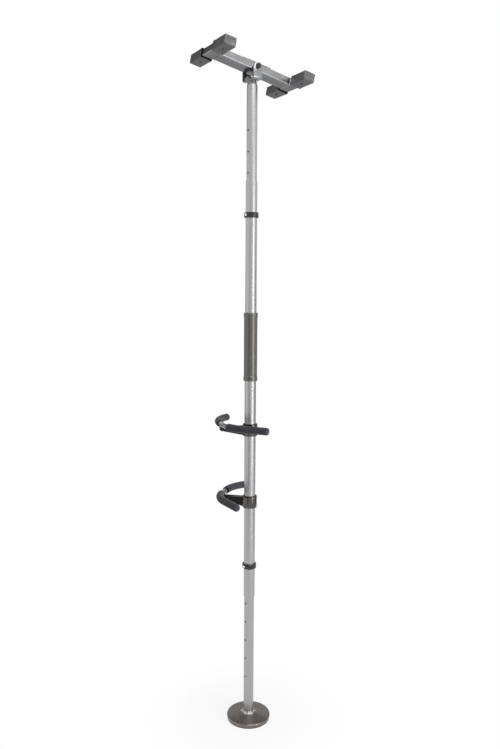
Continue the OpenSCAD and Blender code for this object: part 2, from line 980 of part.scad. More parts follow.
// Foam grip around one half of the bar, closed and rounded at its end.
// It starts some way before the bend, or inside it.
module foam(corner, end, run, bare) {
  r = foam_d / 2;
  from = corner - bend_run - run;
  to = corner - bend_run + cut;
  cap_at = end + foam_end - foam_round;
  cap_r = r - 2 * bend_step;
  difference() {
    union() {
      if (run > 0)
        bar_middle(r, from, to);
      bend_and_end(r, corner, cap_at, bare);
      at_bar_end(corner, cap_at)
        rotate_extrude()
          polygon(concat(
            [[0, -cut], [cap_r, -cut]],
            arc([cap_r - foam_round, 0], foam_round, 0, 90),
            [[0, foam_round]]
          ));
    }
    bar_middle(bar_r + snug, from - cut, to);
    bend_and_end(bar_r + snug, corner, end + snug, 0);
  }
}

// Places a shape at the end of one half of the bar, pointing along it.
module at_bar_end(corner, end) {
  translate([bar_out - bend_r, corner - bend_run, bar_rise])
    rotate([0, 0, bend_angle])
      translate([bend_r, end - bend_run, 0])
        rotate([-90, 0, 0])
          children();
}

// Two set screws with driver sockets.
module set_screws() {
  for (z = [-set_screw_z, set_screw_z])
    difference() {
      out_rod(set_screw_d, set_tip, set_end, z, 180);
      rotate([0, 0, 180])
        translate([set_end - set_screw_d * socket_depth_share, 0, z])
          rotate([0, 90, 0])
            hexagon(set_screw_d * socket_d_share, set_screw_d);
    }
}

// Screw from under the arm's tip up into the bar.
module tip_screw() {
  seat = arm_tip_top - arm_tip_h;
  translate([bar_out, 0, seat])
    rotate([180, 0, 0])
      round_screw(tip_screw_d, bar_rise - bar_r - seat + tip_screw_bite);
}

// Liner of the lower handle.
module lower_liner() {
  color([0.1, 0.1, 0.1])
    at_handle(lower_handle_z, lower_handle_turn)
      liner();
}

// Collar of the lower handle.
module lower_collar() {
  color([0.2, 0.2, 0.2])
    at_handle(lower_handle_z, lower_handle_turn)
      collar();
}

// Arm of the lower handle.
module lower_arm() {
  color([0.12, 0.12, 0.12])
    at_handle(lower_handle_z, lower_handle_turn)
      arm();
}

// Bar of the lower handle.
module lower_bar() {
  color([0.3, 0.3, 0.31])
    at_handle(lower_handle_z, lower_handle_turn)
      bar();
}

// Longer foam grip of the lower handle.
module lower_long_grip() {
  color([0.25, 0.25, 0.27])
    at_handle(lower_handle_z, lower_handle_turn)
      foam(long_corner, long_end, 0, lower_bare_angle);
}

// Shorter foam grip of the lower handle.
module lower_short_grip() {
  color([0.25, 0.25, 0.27])
    at_handle(lower_handle_z, lower_handle_turn)
      mirror([0, 1, 0])
        foam(short_corner, short_end, short_foam_run, 0);
}

// Set screws of the lower handle's collar.
module lower_set_screws() {
  color([0.6, 0.6, 0.62])
    at_handle(lower_handle_z, lower_handle_turn)
      set_screws();
}

// Screw in the tip of the lower handle's arm.
module lower_tip_screw() {
  color([0.6, 0.6, 0.62])
    at_handle(lower_handle_z, lower_handle_turn)
      tip_screw();
}

// Liner of the upper handle.
module upper_liner() {
  color([0.1, 0.1, 0.1])
    at_handle(upper_handle_z, upper_handle_turn)
      liner();
}

// Collar of the upper handle.
module upper_collar() {
  color([0.2, 0.2, 0.2])
    at_handle(upper_handle_z, upper_handle_turn)
      collar();
}

// Arm of the upper handle.
module upper_arm() {
  color([0.12, 0.12, 0.12])
    at_handle(upper_handle_z, upper_handle_turn)
      arm();
}

// Bar of the upper handle.
module upper_bar() {
  color([0.3, 0.3, 0.31])
    at_handle(upper_handle_z, upper_handle_turn)
      bar();
}

// Longer foam grip of the upper handle.
module upper_long_grip() {
  color([0.25, 0.25, 0.27])
    at_handle(upper_handle_z, upper_handle_turn)
      foam(long_corner, long_end, 0, upper_bare_angle);
}

// Shorter foam grip of the upper handle.
module upper_short_grip() {
  color([0.25, 0.25, 0.27])
    at_handle(upper_handle_z, upper_handle_turn)
      mirror([0, 1, 0])
        foam(short_corner, short_end, short_foam_run, 0);
}

// Set screws of the upper handle's collar.
module upper_set_screws() {
  color([0.6, 0.6, 0.62])
    at_handle(upper_handle_z, upper_handle_turn)
      set_screws();
}

// Screw in the tip of the upper handle's arm.
module upper_tip_screw() {
  color([0.6, 0.6, 0.62])
    at_handle(upper_handle_z, upper_handle_turn)
      tip_screw();
}

base_dish();
base_hub();
base_mat();
base_screws();
thrust_washer();
retaining_washer();
foot_bolt();
foot_plug();
lower_tube();
lower_glide();
main_tube();
pole_grip();
lower_lock_ring();
upper_lock_ring();
lower_lock_pin();
upper_lock_pin();
upper_tube();
upper_glide();
jack_nut();
jack_spindle();
spindle_stop();
clevis();
stud_nut();
pivot_bolt();
pivot_nut();
pivot_washers();
crossbar();
pivot_sleeve();
saddle_plate();
left_cross_tube();
right_cross_tube();
left_near_pad();
left_far_pad();
right_near_pad();
right_far_pad();
pad_screws();
lower_liner();
lower_collar();
lower_arm();
lower_bar();
lower_long_grip();
lower_short_grip();
lower_set_screws();
lower_tip_screw();
upper_liner();
upper_collar();
upper_arm();
upper_bar();
upper_long_grip();
upper_short_grip();
upper_set_screws();
upper_tip_screw();
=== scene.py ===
import math

import bmesh
import bpy
from bpy.props import FloatProperty, FloatVectorProperty, IntProperty, PointerProperty
from bpy.types import Operator, Panel, PropertyGroup
from mathutils import Matrix, Vector


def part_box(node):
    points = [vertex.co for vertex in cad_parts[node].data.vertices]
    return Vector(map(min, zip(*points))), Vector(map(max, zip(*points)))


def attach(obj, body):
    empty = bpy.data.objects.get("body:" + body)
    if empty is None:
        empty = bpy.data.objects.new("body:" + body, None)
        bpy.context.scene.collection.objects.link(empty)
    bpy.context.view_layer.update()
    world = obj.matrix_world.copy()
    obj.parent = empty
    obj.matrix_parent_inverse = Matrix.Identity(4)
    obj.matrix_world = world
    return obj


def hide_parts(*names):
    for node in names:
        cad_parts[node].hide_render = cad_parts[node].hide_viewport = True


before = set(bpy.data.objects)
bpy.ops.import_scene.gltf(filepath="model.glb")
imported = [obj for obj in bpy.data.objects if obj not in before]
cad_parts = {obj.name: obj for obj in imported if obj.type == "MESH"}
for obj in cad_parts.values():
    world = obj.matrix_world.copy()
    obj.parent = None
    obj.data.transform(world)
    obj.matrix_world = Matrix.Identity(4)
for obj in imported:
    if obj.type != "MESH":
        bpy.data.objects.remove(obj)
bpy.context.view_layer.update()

bl_info = {
    "name": "Transfer Pole Dressing",
    "version": (1, 0, 0),
    "blender": (4, 5, 0),
    "location": "View3D > Sidebar > Transfer Pole",
    "description": "Gives a floor-to-ceiling transfer pole its finish, soft grips and studio",
    "category": "Object",
}

# Vertices closer than this are one vertex, in metres.
WELD = 2e-6
# The same for a long thread, where the turns drift a little.
THREAD_WELD = 5e-5
# How far off a ring a vertex may lie and still be part of it.
RING_SLACK = WELD * 5
# Vertices closer than this to the cut at a thread's end lie on it.
CUT_SLACK = 1e-7
# How far shapes that are gathered into one piece run into each other.
OVERLAP = 0.001
# Gap between a foam grip and its bar.
FOAM_GAP = 0.0001
# Edges sharper than this stay sharp in the shading.
SHARP = math.radians(38)
# Edges sharper than these are rounded: on blocks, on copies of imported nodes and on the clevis.
BLOCK_EDGE = math.radians(30)
COPY_EDGE = math.radians(35)
CLEVIS_EDGE = math.radians(50)
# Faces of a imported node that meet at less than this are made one.
FLAT = math.radians(0.4)
# An edge runs along an axis when this share of its length does.
ALONG_SHARE = 0.99
# Ending of the names of the finishes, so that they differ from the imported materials.
FINISH_ENDING = "_finish"
# What comes in pairs: locks and handles, cross tubes, and pads with the way that they point.
LEVELS = ("lower", "upper")
SIDES = ("left", "right")
ENDS = {"near": -1, "far": 1}
# Steps round the turned pieces.
DISH_STEPS = 160
SLEEVE_STEPS = 128
ROD_STEPS = 48
THREAD_STEPS = 32
# Steps through a fold of the clevis.
FOLD_STEPS = 8
# Rings along a foam grip, and in each of its rounded ends.
FOAM_STEPS = 36
FOAM_EDGE_STEPS = 8
# Sides of round and hexagon shapes.
SCREW_SIDES = 24
FOAM_SIDES = 56
WELD_SIDES = 12
FLOOR_SIDES = 96
HEXAGON_SIDES = 6
# Share of a foam grip's last ring that its end face takes.
FOAM_TIP_SHARE = 0.5
# Button head, ring by ring: rise as a share of its height, size as a share of the ring before.
BUTTON_SHARES = ((0.30, 1.0), (0.35, 0.93), (0.25, 0.82), (0.10, 0.80))
# Hexagon socket: size as a share of the head's radius, depth as a share of the head's height.
SOCKET_SHARE = 0.42
SOCKET_DEPTH_SHARE = 0.6
# Hexagon head: height of its flats and size of its top, as shares of its height and width.
FLATS_SHARE = 0.84
CROWN_SHARE = 0.90
# Thread's profile, from its root: shares of its depth and of its pitch.
THREAD_SHARES = ((0.0, 0.0), (0.0, 0.30), (1.0, 0.45), (1.0, 0.85), (0.0, 1.0))
# Turns of thread made below its foot, and in all beyond its length, before its ends are cut.
THREAD_LEAD = 1.5
THREAD_SPARE = 2
# Weld bead: thin rings as a share of its radius, thick rings as a share of the thin ones.
WELD_THIN_SHARE = 0.6
WELD_SWELL_SHARE = 1.4
WHITE = (1.0, 1.0, 1.0, 1.0)


def length(name, description, metres):
    """A length that a user may change, in metres."""
    return FloatProperty(
        name=name, description=description, default=metres, unit="LENGTH", precision=4
    )


def angle(name, description, degrees):
    """An angle that a user may change, given in degrees."""
    return FloatProperty(
        name=name, description=description, default=math.radians(degrees), unit="ROTATION"
    )


def tint(name, description, red, green, blue):
    """A colour that a user may change, as linear light."""
    return FloatVectorProperty(
        name=name, description=description, default=(red, green, blue, 1.0), size=4,
        min=0.0, max=1.0, subtype="COLOR",
    )


def amount(name, description, value):
    """A plain amount that a user may change."""
    return FloatProperty(
        name=name, description=description, default=value, min=0.0, soft_max=1.0, subtype="FACTOR"
    )


def power(name, description, watts):
    """A lamp's power that a user may change, in watts."""
    return FloatProperty(
        name=name, description=description, default=watts, min=0.0, unit="POWER"
    )


class FootSizes(PropertyGroup):
    """Sizes of the floor dish and its screws."""

    dish_radius: length("Dish radius", "Outer radius of the floor dish", 0.083)
    mat_height: length("Mat", "Height of the rubber mat under the dish", 0.003)
    rim_top: length("Rim top", "Height of the corner of the rim above the floor", 0.015)
    rim_round: length("Rim round", "Radius of the rolled rim", 0.004)
    lip: length("Lip", "Width of the turned-in edge under the rim", 0.012)
    land_height: length("Land height", "Height of the flat land above the floor", 0.024)
    land_radius: length("Land radius", "Outer radius of the flat land", 0.0326)
    neck_radius: length("Neck radius", "Outer radius of the neck", 0.0218)
    neck_fillet: length("Neck fillet", "Radius of the sweep from the land into the neck", 0.0018)
    neck_top: length("Neck top", "Height of the top of the neck above the floor", 0.030)
    sheet: length("Sheet", "Thickness of the spun sheet", 0.002)
    neck_edge: length("Neck edge", "Radius of the eased edges at the top of the neck", 0.0008)
    mat_edge: length("Mat edge", "Radius of the eased edge above the mat", 0.001)
    screw_circle: length("Screw circle", "Radius of the circle that the screws stand on", 0.0281)
    screw_count: IntProperty(
        name="Screws", description="Number of screws round the neck", default=6, min=2
    )
    screw_radius: length("Screw head", "Radius of a screw's button head", 0.0034)
    screw_height: length("Screw height", "Height of a screw's button head", 0.0026)
    shank_radius: length("Screw shank", "Radius of a screw's shank", 0.002)
    shank_length: length("Screw length", "Length of a screw below its head", 0.011)


class PoleSizes(PropertyGroup):
    """Sizes of the sleeve, the lock pins and the jack's thread."""

    grip_bore: length("Sleeve bore", "Inner radius of the rubber sleeve", 0.0211)
    grip_radius: length("Sleeve radius", "Outer radius of the rubber sleeve", 0.0246)
    bead_radius: length("Bead radius", "Outer radius of the sleeve's end beads", 0.0259)
    bead_height: length("Bead height", "Height of the sleeve's end beads", 0.017)
    bead_fillet: length("Bead fillet", "Radius of the sweep from the sleeve into a bead", 0.00078)
    ring_ease: length("Ring edge", "Radius of the eased edges of a lock ring", 0.0006)
    pin_radius: length("Pin radius", "Radius of a lock pin", 0.003)
    pin_head: length("Pin head", "Radius of the head of a lock pin", 0.0045)
    pin_head_height: length("Pin head height", "Height of the head of a lock pin", 0.002)
    pin_head_ease: length("Pin head edge", "Radius of the eased edge of a pin's head", 0.0009)
    pin_tip_ease: length("Pin tip edge", "Radius of the eased edge of a pin's tip", 0.0006)
    thread_radius: length("Thread radius", "Outer radius of the jack's thread", 0.010)
    thread_depth: length("Thread depth", "Depth of the jack's thread", 0.0015)
    thread_pitch: length("Thread pitch", "Rise of the jack's thread in one turn", 0.004)
    thread_foot: length("Thread foot", "Plain end of the spindle below its thread", 0.005)
    stud_radius: length("Stud radius", "Radius of the spindle's plain ends", 0.008)
    stud_ease: length("Stud edge", "Radius of the eased edge at the stud's top", 0.0008)


class HandleSizes(PropertyGroup):
    """Sizes of one bow handle, measured from the middle of its collar."""

    bar_out: length("Bar distance", "Distance of the bar from the pole's axis", 0.108)
    bar_rise: length("Bar height", "Height of the bar above the middle of the collar", 0.023)
    bar_radius: length("Bar radius", "Radius of the bar", 0.0095)
    bend_radius: length("Bend radius", "Radius of the bar's bends", 0.138)
    bend_angle: angle("Bend angle", "Angle of the bar's bends", 50.5)
    long_corner: length("Long corner", "Distance from the arm to the long side's corner", 0.070)
    short_corner: length("Short corner", "Distance from the arm to the short side's corner", 0.105)
    long_end: length("Long end", "Length of the bar past the long side's corner", 0.158)
    short_end: length("Short end", "Length of the bar past the short side's corner", 0.075)
    foam_radius: length("Foam radius", "Radius of a foam grip", 0.0135)
    foam_end: length("Foam end", "Foam past the end of the bar", 0.005)
    foam_round: length("Foam round", "Radius of the rounded end of a foam grip", 0.007)
    foam_soft: length("Foam edge", "Radius of the eased edge where a foam grip starts", 0.0016)
    short_run: length("Short run", "Foam on the short side before its bend starts", 0.013)
    lower_bare: angle("Lower bare angle", "Bare part of the lower handle's long bend", 7.5)
    upper_bare: angle("Upper bare angle", "Bare part of the upper handle's long bend", 22)
    arm_width: length("Arm width", "Width of the arm", 0.024)
    arm_root: length("Arm root", "Where the arm starts inside the collar's wall", 0.0244)
    arm_shoulder: length("Arm shoulder", "Where the arm starts to taper", 0.0275)
    arm_tip: length("Arm tip", "Distance of the arm's tip from the pole's axis", 0.1145)
    root_low: length("Root low", "Depth of the arm's root below the collar's middle", 0.0185)
    root_high: length("Root high", "Height of the arm's root above the collar's middle", 0.0155)
    tip_low: length("Tip low", "Height of the tip's underside above the collar's middle", 0.002)
    tip_high: length("Tip high", "Height of the tip's top above the collar's middle", 0.012)
    arm_ease: length("Arm edge", "Radius of the arm's eased edges", 0.0026)
    boss_radius: length("Boss radius", "Radius of the post under the bar", 0.0085)
    boss_foot: length("Boss foot", "Height where the post starts inside the arm", 0.010)
    collar_ease: length("Collar edge", "Radius of the collar's eased edges", 0.0012)


class CeilingSizes(PropertyGroup):
    """Sizes of the clevis and of the tilting ceiling frame."""

    crossbar_length: length("Crossbar length", "Crossbar between the cross tubes", 0.2875)
    crossbar_width: length("Crossbar width", "Width of the crossbar", 0.060)
    crossbar_height: length("Crossbar height", "Height of the crossbar", 0.025)
    tee_width: length("Cross tube width", "Width of a cross tube", 0.0375)
    tee_height: length("Cross tube height", "Height of a cross tube", 0.025)
    tee_length: length("Cross tube length", "Length of a cross tube", 0.238)
    tube_round: length("Tube edge", "Radius of the long edges of the frame's tubes", 0.003)
    weld_radius: length("Weld", "Radius of a weld bead", 0.0022)
    weld_ripple: length("Weld ripple", "Length of one ripple of a weld bead", 0.0025)
    top_weld_gap: length("Top weld gap", "Crossbar's width less the top weld's length", 0.004)
    side_weld_gap: length("Side weld gap", "Crossbar's height less a side weld's length", 0.003)
    pad_width: length("Pad width", "Width of a ceiling pad", 0.0445)
    pad_height: length("Pad height", "Height of a ceiling pad", 0.032)
    pad_length: length("Pad length", "Length of a ceiling pad", 0.085)
    pad_round: length("Pad edge", "Radius of the edges of a ceiling pad", 0.003)
    pad_wall: length("Pad wall", "Wall of a ceiling pad", 0.0035)
    pad_border: length("Pad border", "Border round the sunk panel in a pad's end", 0.0035)
    panel_step: length("Panel step", "Width of the step down to the sunk panel", 0.0009)
    panel_depth: length("Panel depth", "Depth of the sunk panel", 0.0007)
    screw_radius: length("Pad screw head", "Radius of a pad screw's button head", 0.0033)
    screw_height: length("Pad screw height", "Height of a pad screw's button head", 0.0024)
    shank_radius: length("Pad screw shank", "Radius of a pad screw's shank", 0.002)
    shank_length: length("Pad screw length", "Length of a pad screw below its head", 0.009)
    saddle_length: length("Saddle length", "Length of the plate on the crossbar", 0.112)
    saddle_height: length("Saddle height", "Thickness of the plate on the crossbar", 0.003)
    saddle_gap: length("Saddle gap", "Crossbar's width less the width of its plate", 0.002)
    saddle_ease: length("Saddle edge", "Radius of the plate's eased edges", 0.0009)
    clevis_width: length("Clevis width", "Width of the clevis along the crossbar", 0.035)
    clevis_half: length("Clevis half", "A cheek's outer face from the pole's axis", 0.0391)
    clevis_sheet: length("Clevis sheet", "Plate thickness of the clevis", 0.005)
    clevis_bend: length("Clevis bend", "Outer radius of the clevis's folds", 0.009)
    clevis_ease: length("Clevis edge", "Radius of the clevis's eased edges", 0.0007)
    bevel_width: length("Bevel width", "Width of the bevel at a cheek's top corners", 0.008)
    bevel_height: length("Bevel height", "Height of the bevel at a cheek's top corners", 0.018)
    bolt_radius: length("Bolt radius", "Radius of the pivot bolt", 0.005)
    bolt_ease: length("Bolt edge", "Radius of the eased edge at the bolt's end", 0.0008)
    bolt_flats: length("Bolt flats", "Half of the width over the bolt head's flats", 0.0085)
    bolt_head: length("Bolt head", "Height of the pivot bolt's head", 0.0064)
    nut_height: length("Nut height", "Height of the pivot nut", 0.008)
    bolt_tail: length("Bolt tail", "Thread past the pivot nut", 0.003)


class FinishColours(PropertyGroup):
    """Main colours of the finishes, as linear light."""

    tube_silver: tint("Tubes", "Satin drawn aluminium", 0.405, 0.405, 0.41)
    dish_steel: tint("Dish", "Spun stainless steel", 0.285, 0.265, 0.245)
    # Pale neck colour: partly polish, partly painted highlight.
    dish_neck: tint("Dish neck", "Polished neck of the dish", 0.72, 0.74, 0.76)
    # Dark rim colour: painted shade on the rim's side wall.
    dish_rim: tint("Dish rim", "Polished rim of the dish", 0.19, 0.175, 0.165)
    hidden_steel: tint("Plain steel", "Machined steel inside the pole", 0.42, 0.42, 0.44)
    bright_screws: tint("Screws", "Bright screw heads", 0.62, 0.61, 0.60)
    bright_pin: tint("Lock pins", "Polished lock pins", 0.80, 0.80, 0.82)
    bronze: tint("Bronze", "Thrust washer", 0.55, 0.36, 0.16)
    mat_rubber: tint("Mat", "Rubber under the dish", 0.014, 0.014, 0.014)
    pad_rubber: tint("Ceiling pads", "Moulded rubber of the ceiling pads", 0.088, 0.088, 0.094)
    grip_rubber: tint("Sleeve", "Rubber sleeve on the pole", 0.041, 0.0385, 0.033)
    foam: tint("Foam", "Foam of the handles' grips", 0.046, 0.047, 0.056)
    nylon: tint("Nylon", "Pale nylon of the foot plug", 0.66, 0.64, 0.58)
    black_nylon: tint("Black nylon", "Glides and liners", 0.016, 0.016, 0.017)
    ring_plastic: tint("Lock rings", "Gloss black of the lock rings", 0.014, 0.014, 0.014)
    frame_paint: tint("Frame", "Silver-grey finish of the ceiling frame", 0.32, 0.322, 0.33)
    black_steel: tint("Black steel", "Blackened bolts and nuts", 0.040, 0.041, 0.044)
    arm_paint: tint("Arms", "Black paint of the handles' arms", 0.012, 0.012, 0.012)
    # Both chromes are darker than the plating really is: the dark colour is painted shade, standing
    # in for reflections of dark surroundings.
    dark_chrome: tint("Dark chrome", "Dark bright plating of the collars", 0.108, 0.103, 0.100)
    bar_chrome: tint("Bar chrome", "Bright plating of the bars", 0.21, 0.21, 0.22)


class StudioSettings(PropertyGroup):
    """Camera, floor and light."""

    lens: FloatProperty(name="Lens", description="Focal length", default=34.14, unit="CAMERA")
    sensor: FloatProperty(
        name="Sensor", description="Width of the camera's sensor", default=36.0, unit="CAMERA"
    )
    eye_side: length("Eye side", "How far the camera stands to the right of the pole", 0.003)
    eye_back: length("Eye distance", "How far the camera stands from the pole", 2.604)
    eye_height: length("Eye height", "Height of the camera above the floor", 1.641)
    yaw: angle("Yaw", "How far the camera looks to the left", 0.10)
    pitch: angle("Pitch", "How far the camera looks down", 6.535)
    roll: angle("Roll", "How far the camera leans", 0.35)
    fill: amount("Fill", "Level of the even light from all round", 0.28)
    key: power("Key", "Power of the tall soft lamp at the right", 11.0)
    strip: power("Strip", "Power of the narrow strip lamp at the right", 5.6)
    side: power("Side", "Power of the narrow strip lamp at the left", 1.0)
    top: power("Top", "Power of the soft lamp above", 27.0)
    bounce: power("Bounce", "Power of the matt light from the right", 36.0)
    floor_colour: tint("Floor", "Pale floor", 0.90, 0.90, 0.90)
    floor_radius: length("Floor radius", "Radius of the floor", 9.0)
    floor_drop: length("Floor drop", "How far the floor lies below the part", 0.0004)
    shadow_near: length("Shadow near", "Distance up to which the shadow is fullest", 0.10)
    shadow_far: length("Shadow far", "Distance past which no shadow shows", 0.45)
    white_share: amount("White share", "Plain white laid over the fullest shadow", 0.86)


SIZE_GROUPS = {
    "pole_foot_sizes": FootSizes,
    "pole_shaft_sizes": PoleSizes,
    "pole_handle_sizes": HandleSizes,
    "pole_ceiling_sizes": CeilingSizes,
    "pole_finish_colours": FinishColours,
    "pole_studio_settings": StudioSettings,
}


# Where things stand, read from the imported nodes.

def middle_of(node):
    """Middle of a node's box."""
    low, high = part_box(node)
    return (low + high) / 2


def lift(height):
    """Moves a shape up by a height."""
    return Matrix.Translation((0.0, 0.0, height))


def turn(radians, axis="Z"):
    """Turns a shape about an axis through the origin."""
    return Matrix.Rotation(radians, 4, axis)


def handle_place(handle):
    """From a handle's own axes, with its arm along +X, to where that handle stands."""
    tip = middle_of(handle + "_tip_screw")
    return lift(middle_of(handle + "_collar").z) @ turn(math.atan2(tip.y, tip.x))


def frame_axes():
    """Directions of the ceiling frame: along the crossbar, along the cross tubes, and up."""
    along = (middle_of("right_near_pad") - middle_of("left_near_pad")).normalized()
    across = (middle_of("left_far_pad") - middle_of("left_near_pad")).normalized()
    return along, across, along.cross(across)


def frame_place():
    """From the ceiling frame's own axes, with its middle in the crossbar, to where it stands."""
    place = Matrix(frame_axes()).transposed().to_4x4()
    place.translation = middle_of("crossbar")
    return place


def clevis_place():
    """From the clevis's own axes to its heading at rest."""
    along = frame_axes()[0]
    return turn(math.atan2(along.y, along.x))


# Shapes made with mesh operators.

def only(kind, made):
    """The vertices, edges or faces among what an operator made."""
    return [item for item in made if isinstance(item, kind)]


def moved(bm, place):
    """The same shape at another place."""
    bmesh.ops.transform(bm, matrix=place, verts=bm.verts)
    return bm


def gathered(shapes):
    """One shape from several."""
    whole = bmesh.new()
    holder = bpy.data.meshes.new("holder")
    for shape in shapes:
        shape.to_mesh(holder)
        whole.from_mesh(holder)
        shape.free()
    bpy.data.meshes.remove(holder)
    return whole


def everything(bm):
    """All vertices, edges and faces of a shape."""
    return bm.verts[:] + bm.edges[:] + bm.faces[:]


def shares(steps):
    """Even shares from 0 to 1."""
    return [step / steps for step in range(steps + 1)]


def turned(profile, steps):
    """Spins a closed profile of (radius, height) points round the Z axis."""
    bm = bmesh.new()
    verts = [bm.verts.new((radius, 0.0, height)) for radius, height in profile]
    edges = [bm.edges.new(pair) for pair in zip(verts, verts[1:] + verts[:1])]
    bmesh.ops.spin(
        bm, geom=verts + edges, cent=(0, 0, 0), axis=(0, 0, 1), angle=math.tau, steps=steps,
        use_merge=True,
    )
    bmesh.ops.remove_doubles(bm, verts=bm.verts, dist=WELD)
    bmesh.ops.recalc_face_normals(bm, faces=bm.faces)
    return bm


def rod(radius, low, high):
    """A plain round rod along the Z axis, between two heights."""
    return turned([(0.0, low), (radius, low), (radius, high), (0.0, high)], ROD_STEPS)


def outward(bm):
    """Merges what lies together and points all faces outwards."""
    bmesh.ops.remove_doubles(bm, verts=bm.verts, dist=WELD)
    bmesh.ops.dissolve_degenerate(bm, edges=bm.edges, dist=WELD)
    bmesh.ops.recalc_face_normals(bm, faces=bm.faces)
    if bm.calc_volume(signed=True) < 0:
        bmesh.ops.reverse_faces(bm, faces=bm.faces)
    return bm


def eased(bm, edges, width, segments=3):
    """Rounds the edges given."""
    bmesh.ops.bevel(
        bm, geom=edges, offset=width, offset_type="OFFSET", segments=segments, profile=0.5,
        affect="EDGES", material=-1, clamp_overlap=True,
    )
    return bm


def sharp_edges(bm, least=BLOCK_EDGE):
    """Edges whose two faces meet at more than an angle."""
    return [e for e in bm.edges if len(e.link_faces) == 2 and e.calc_face_angle() > least]


def ring_at(bm, radius, height):
    """Edges of the ring at one radius and height of a turned shape."""
    def on_ring(vert):
        off = max(abs(vert.co.xy.length - radius), abs(vert.co.z - height))
        return off < RING_SLACK
    return [e for e in bm.edges if all(on_ring(v) for v in e.verts)]


def block(size_x, size_y, size_z):
    """A rectangular block about the origin."""
    bm = bmesh.new()
    bmesh.ops.create_cube(bm, size=1.0)
    bmesh.ops.scale(bm, vec=(size_x, size_y, size_z), verts=bm.verts)
    return bm


def edges_along(bm, axis):
    """Edges that run along the X, Y or Z axis, given as 0, 1 or 2."""
    found = []
    for edge in bm.edges:
        way = edge.verts[1].co - edge.verts[0].co
        if abs(way[axis]) > ALONG_SHARE * way.length:
            found.append(edge)
    return found


def circle(bm, radius, sides, place):
    """Edges of a new circle."""
    made = bmesh.ops.create_circle(bm, cap_ends=False, radius=radius, segments=sides, matrix=place)
    return list(dict.fromkeys(e for v in made["verts"] for e in v.link_edges))


def carried(bm, loop, place):
    """Extrudes a loop of edges, then carries the new loop to another place."""
    made = bmesh.ops.extrude_edge_only(bm, edges=loop)["geom"]
    verts = only(bmesh.types.BMVert, made)
    bmesh.ops.transform(bm, matrix=place, verts=verts)
    fresh = set(verts)
    return [e for e in only(bmesh.types.BMEdge, made) if fresh.issuperset(e.verts)]


def grown(bm, loop, shift=(0.0, 0.0, 0.0), factor=1.0):
    """Extrudes a loop of edges, then moves the new loop and scales it about its own middle."""
    verts = dict.fromkeys(v for e in loop for v in e.verts)
    middle = sum((v.co for v in verts), Vector()) / len(verts)
    about = Matrix.Translation(middle) @ Matrix.Scale(factor, 4) @ Matrix.Translation(-middle)
    return carried(bm, loop, Matrix.Translation(shift) @ about)


def capped(bm, loop):
    """Closes a loop of edges with one face."""
    bmesh.ops.edgeloop_fill(bm, edges=loop)


def socket_screw(sizes):
    """Button-headed screw along Z, with its head above zero and a hexagon socket in it."""
    bm = bmesh.new()
    loop = circle(bm, sizes.shank_radius, SCREW_SIDES, lift(-sizes.shank_length))
    capped(bm, loop)
    loop = grown(bm, loop, (0, 0, sizes.shank_length))
    loop = grown(bm, loop, factor=sizes.screw_radius / sizes.shank_radius)
    for rise, size in BUTTON_SHARES:
        loop = grown(bm, loop, (0, 0, sizes.screw_height * rise), size)
    hexagon = circle(
        bm, sizes.screw_radius * SOCKET_SHARE, HEXAGON_SIDES, lift(sizes.screw_height))
    cuts = SCREW_SIDES // HEXAGON_SIDES - 1
    split = bmesh.ops.subdivide_edges(bm, edges=hexagon, cuts=cuts)["geom"]
    corners = dict.fromkeys(v for e in only(bmesh.types.BMEdge, split) for v in e.verts)
    hexagon = list(dict.fromkeys(e for v in corners for e in v.link_edges))
    bmesh.ops.bridge_loops(bm, edges=loop + hexagon)
    capped(bm, grown(bm, hexagon, (0, 0, -sizes.screw_height * SOCKET_DEPTH_SHARE)))
    bmesh.ops.recalc_face_normals(bm, faces=bm.faces)
    return bm


def hexagon_head(flats, height):
    """Hexagon head or nut above zero, with its outer corners taken off."""
    corner = flats / math.cos(math.pi / HEXAGON_SIDES)
    bm = bmesh.new()
    loop = circle(bm, corner, HEXAGON_SIDES, Matrix.Identity(4))
    capped(bm, loop)
    loop = grown(bm, loop, (0, 0, height * FLATS_SHARE))
    loop = grown(bm, loop, (0, 0, height * (1.0 - FLATS_SHARE)), CROWN_SHARE)
    capped(bm, loop)
    bmesh.ops.recalc_face_normals(bm, faces=bm.faces)
    return bm


def eased_copy(node, width):
    """A copy of a node's shape with its sharp edges rounded."""
    bm = bmesh.new()
    bm.from_mesh(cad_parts[node].data)
    bmesh.ops.remove_doubles(bm, verts=bm.verts, dist=WELD)
    bmesh.ops.dissolve_limit(bm, angle_limit=FLAT, verts=bm.verts, edges=bm.edges)
    return eased(bm, sharp_edges(bm, COPY_EDGE), width)


# Finishes, one for each material slot of the part.

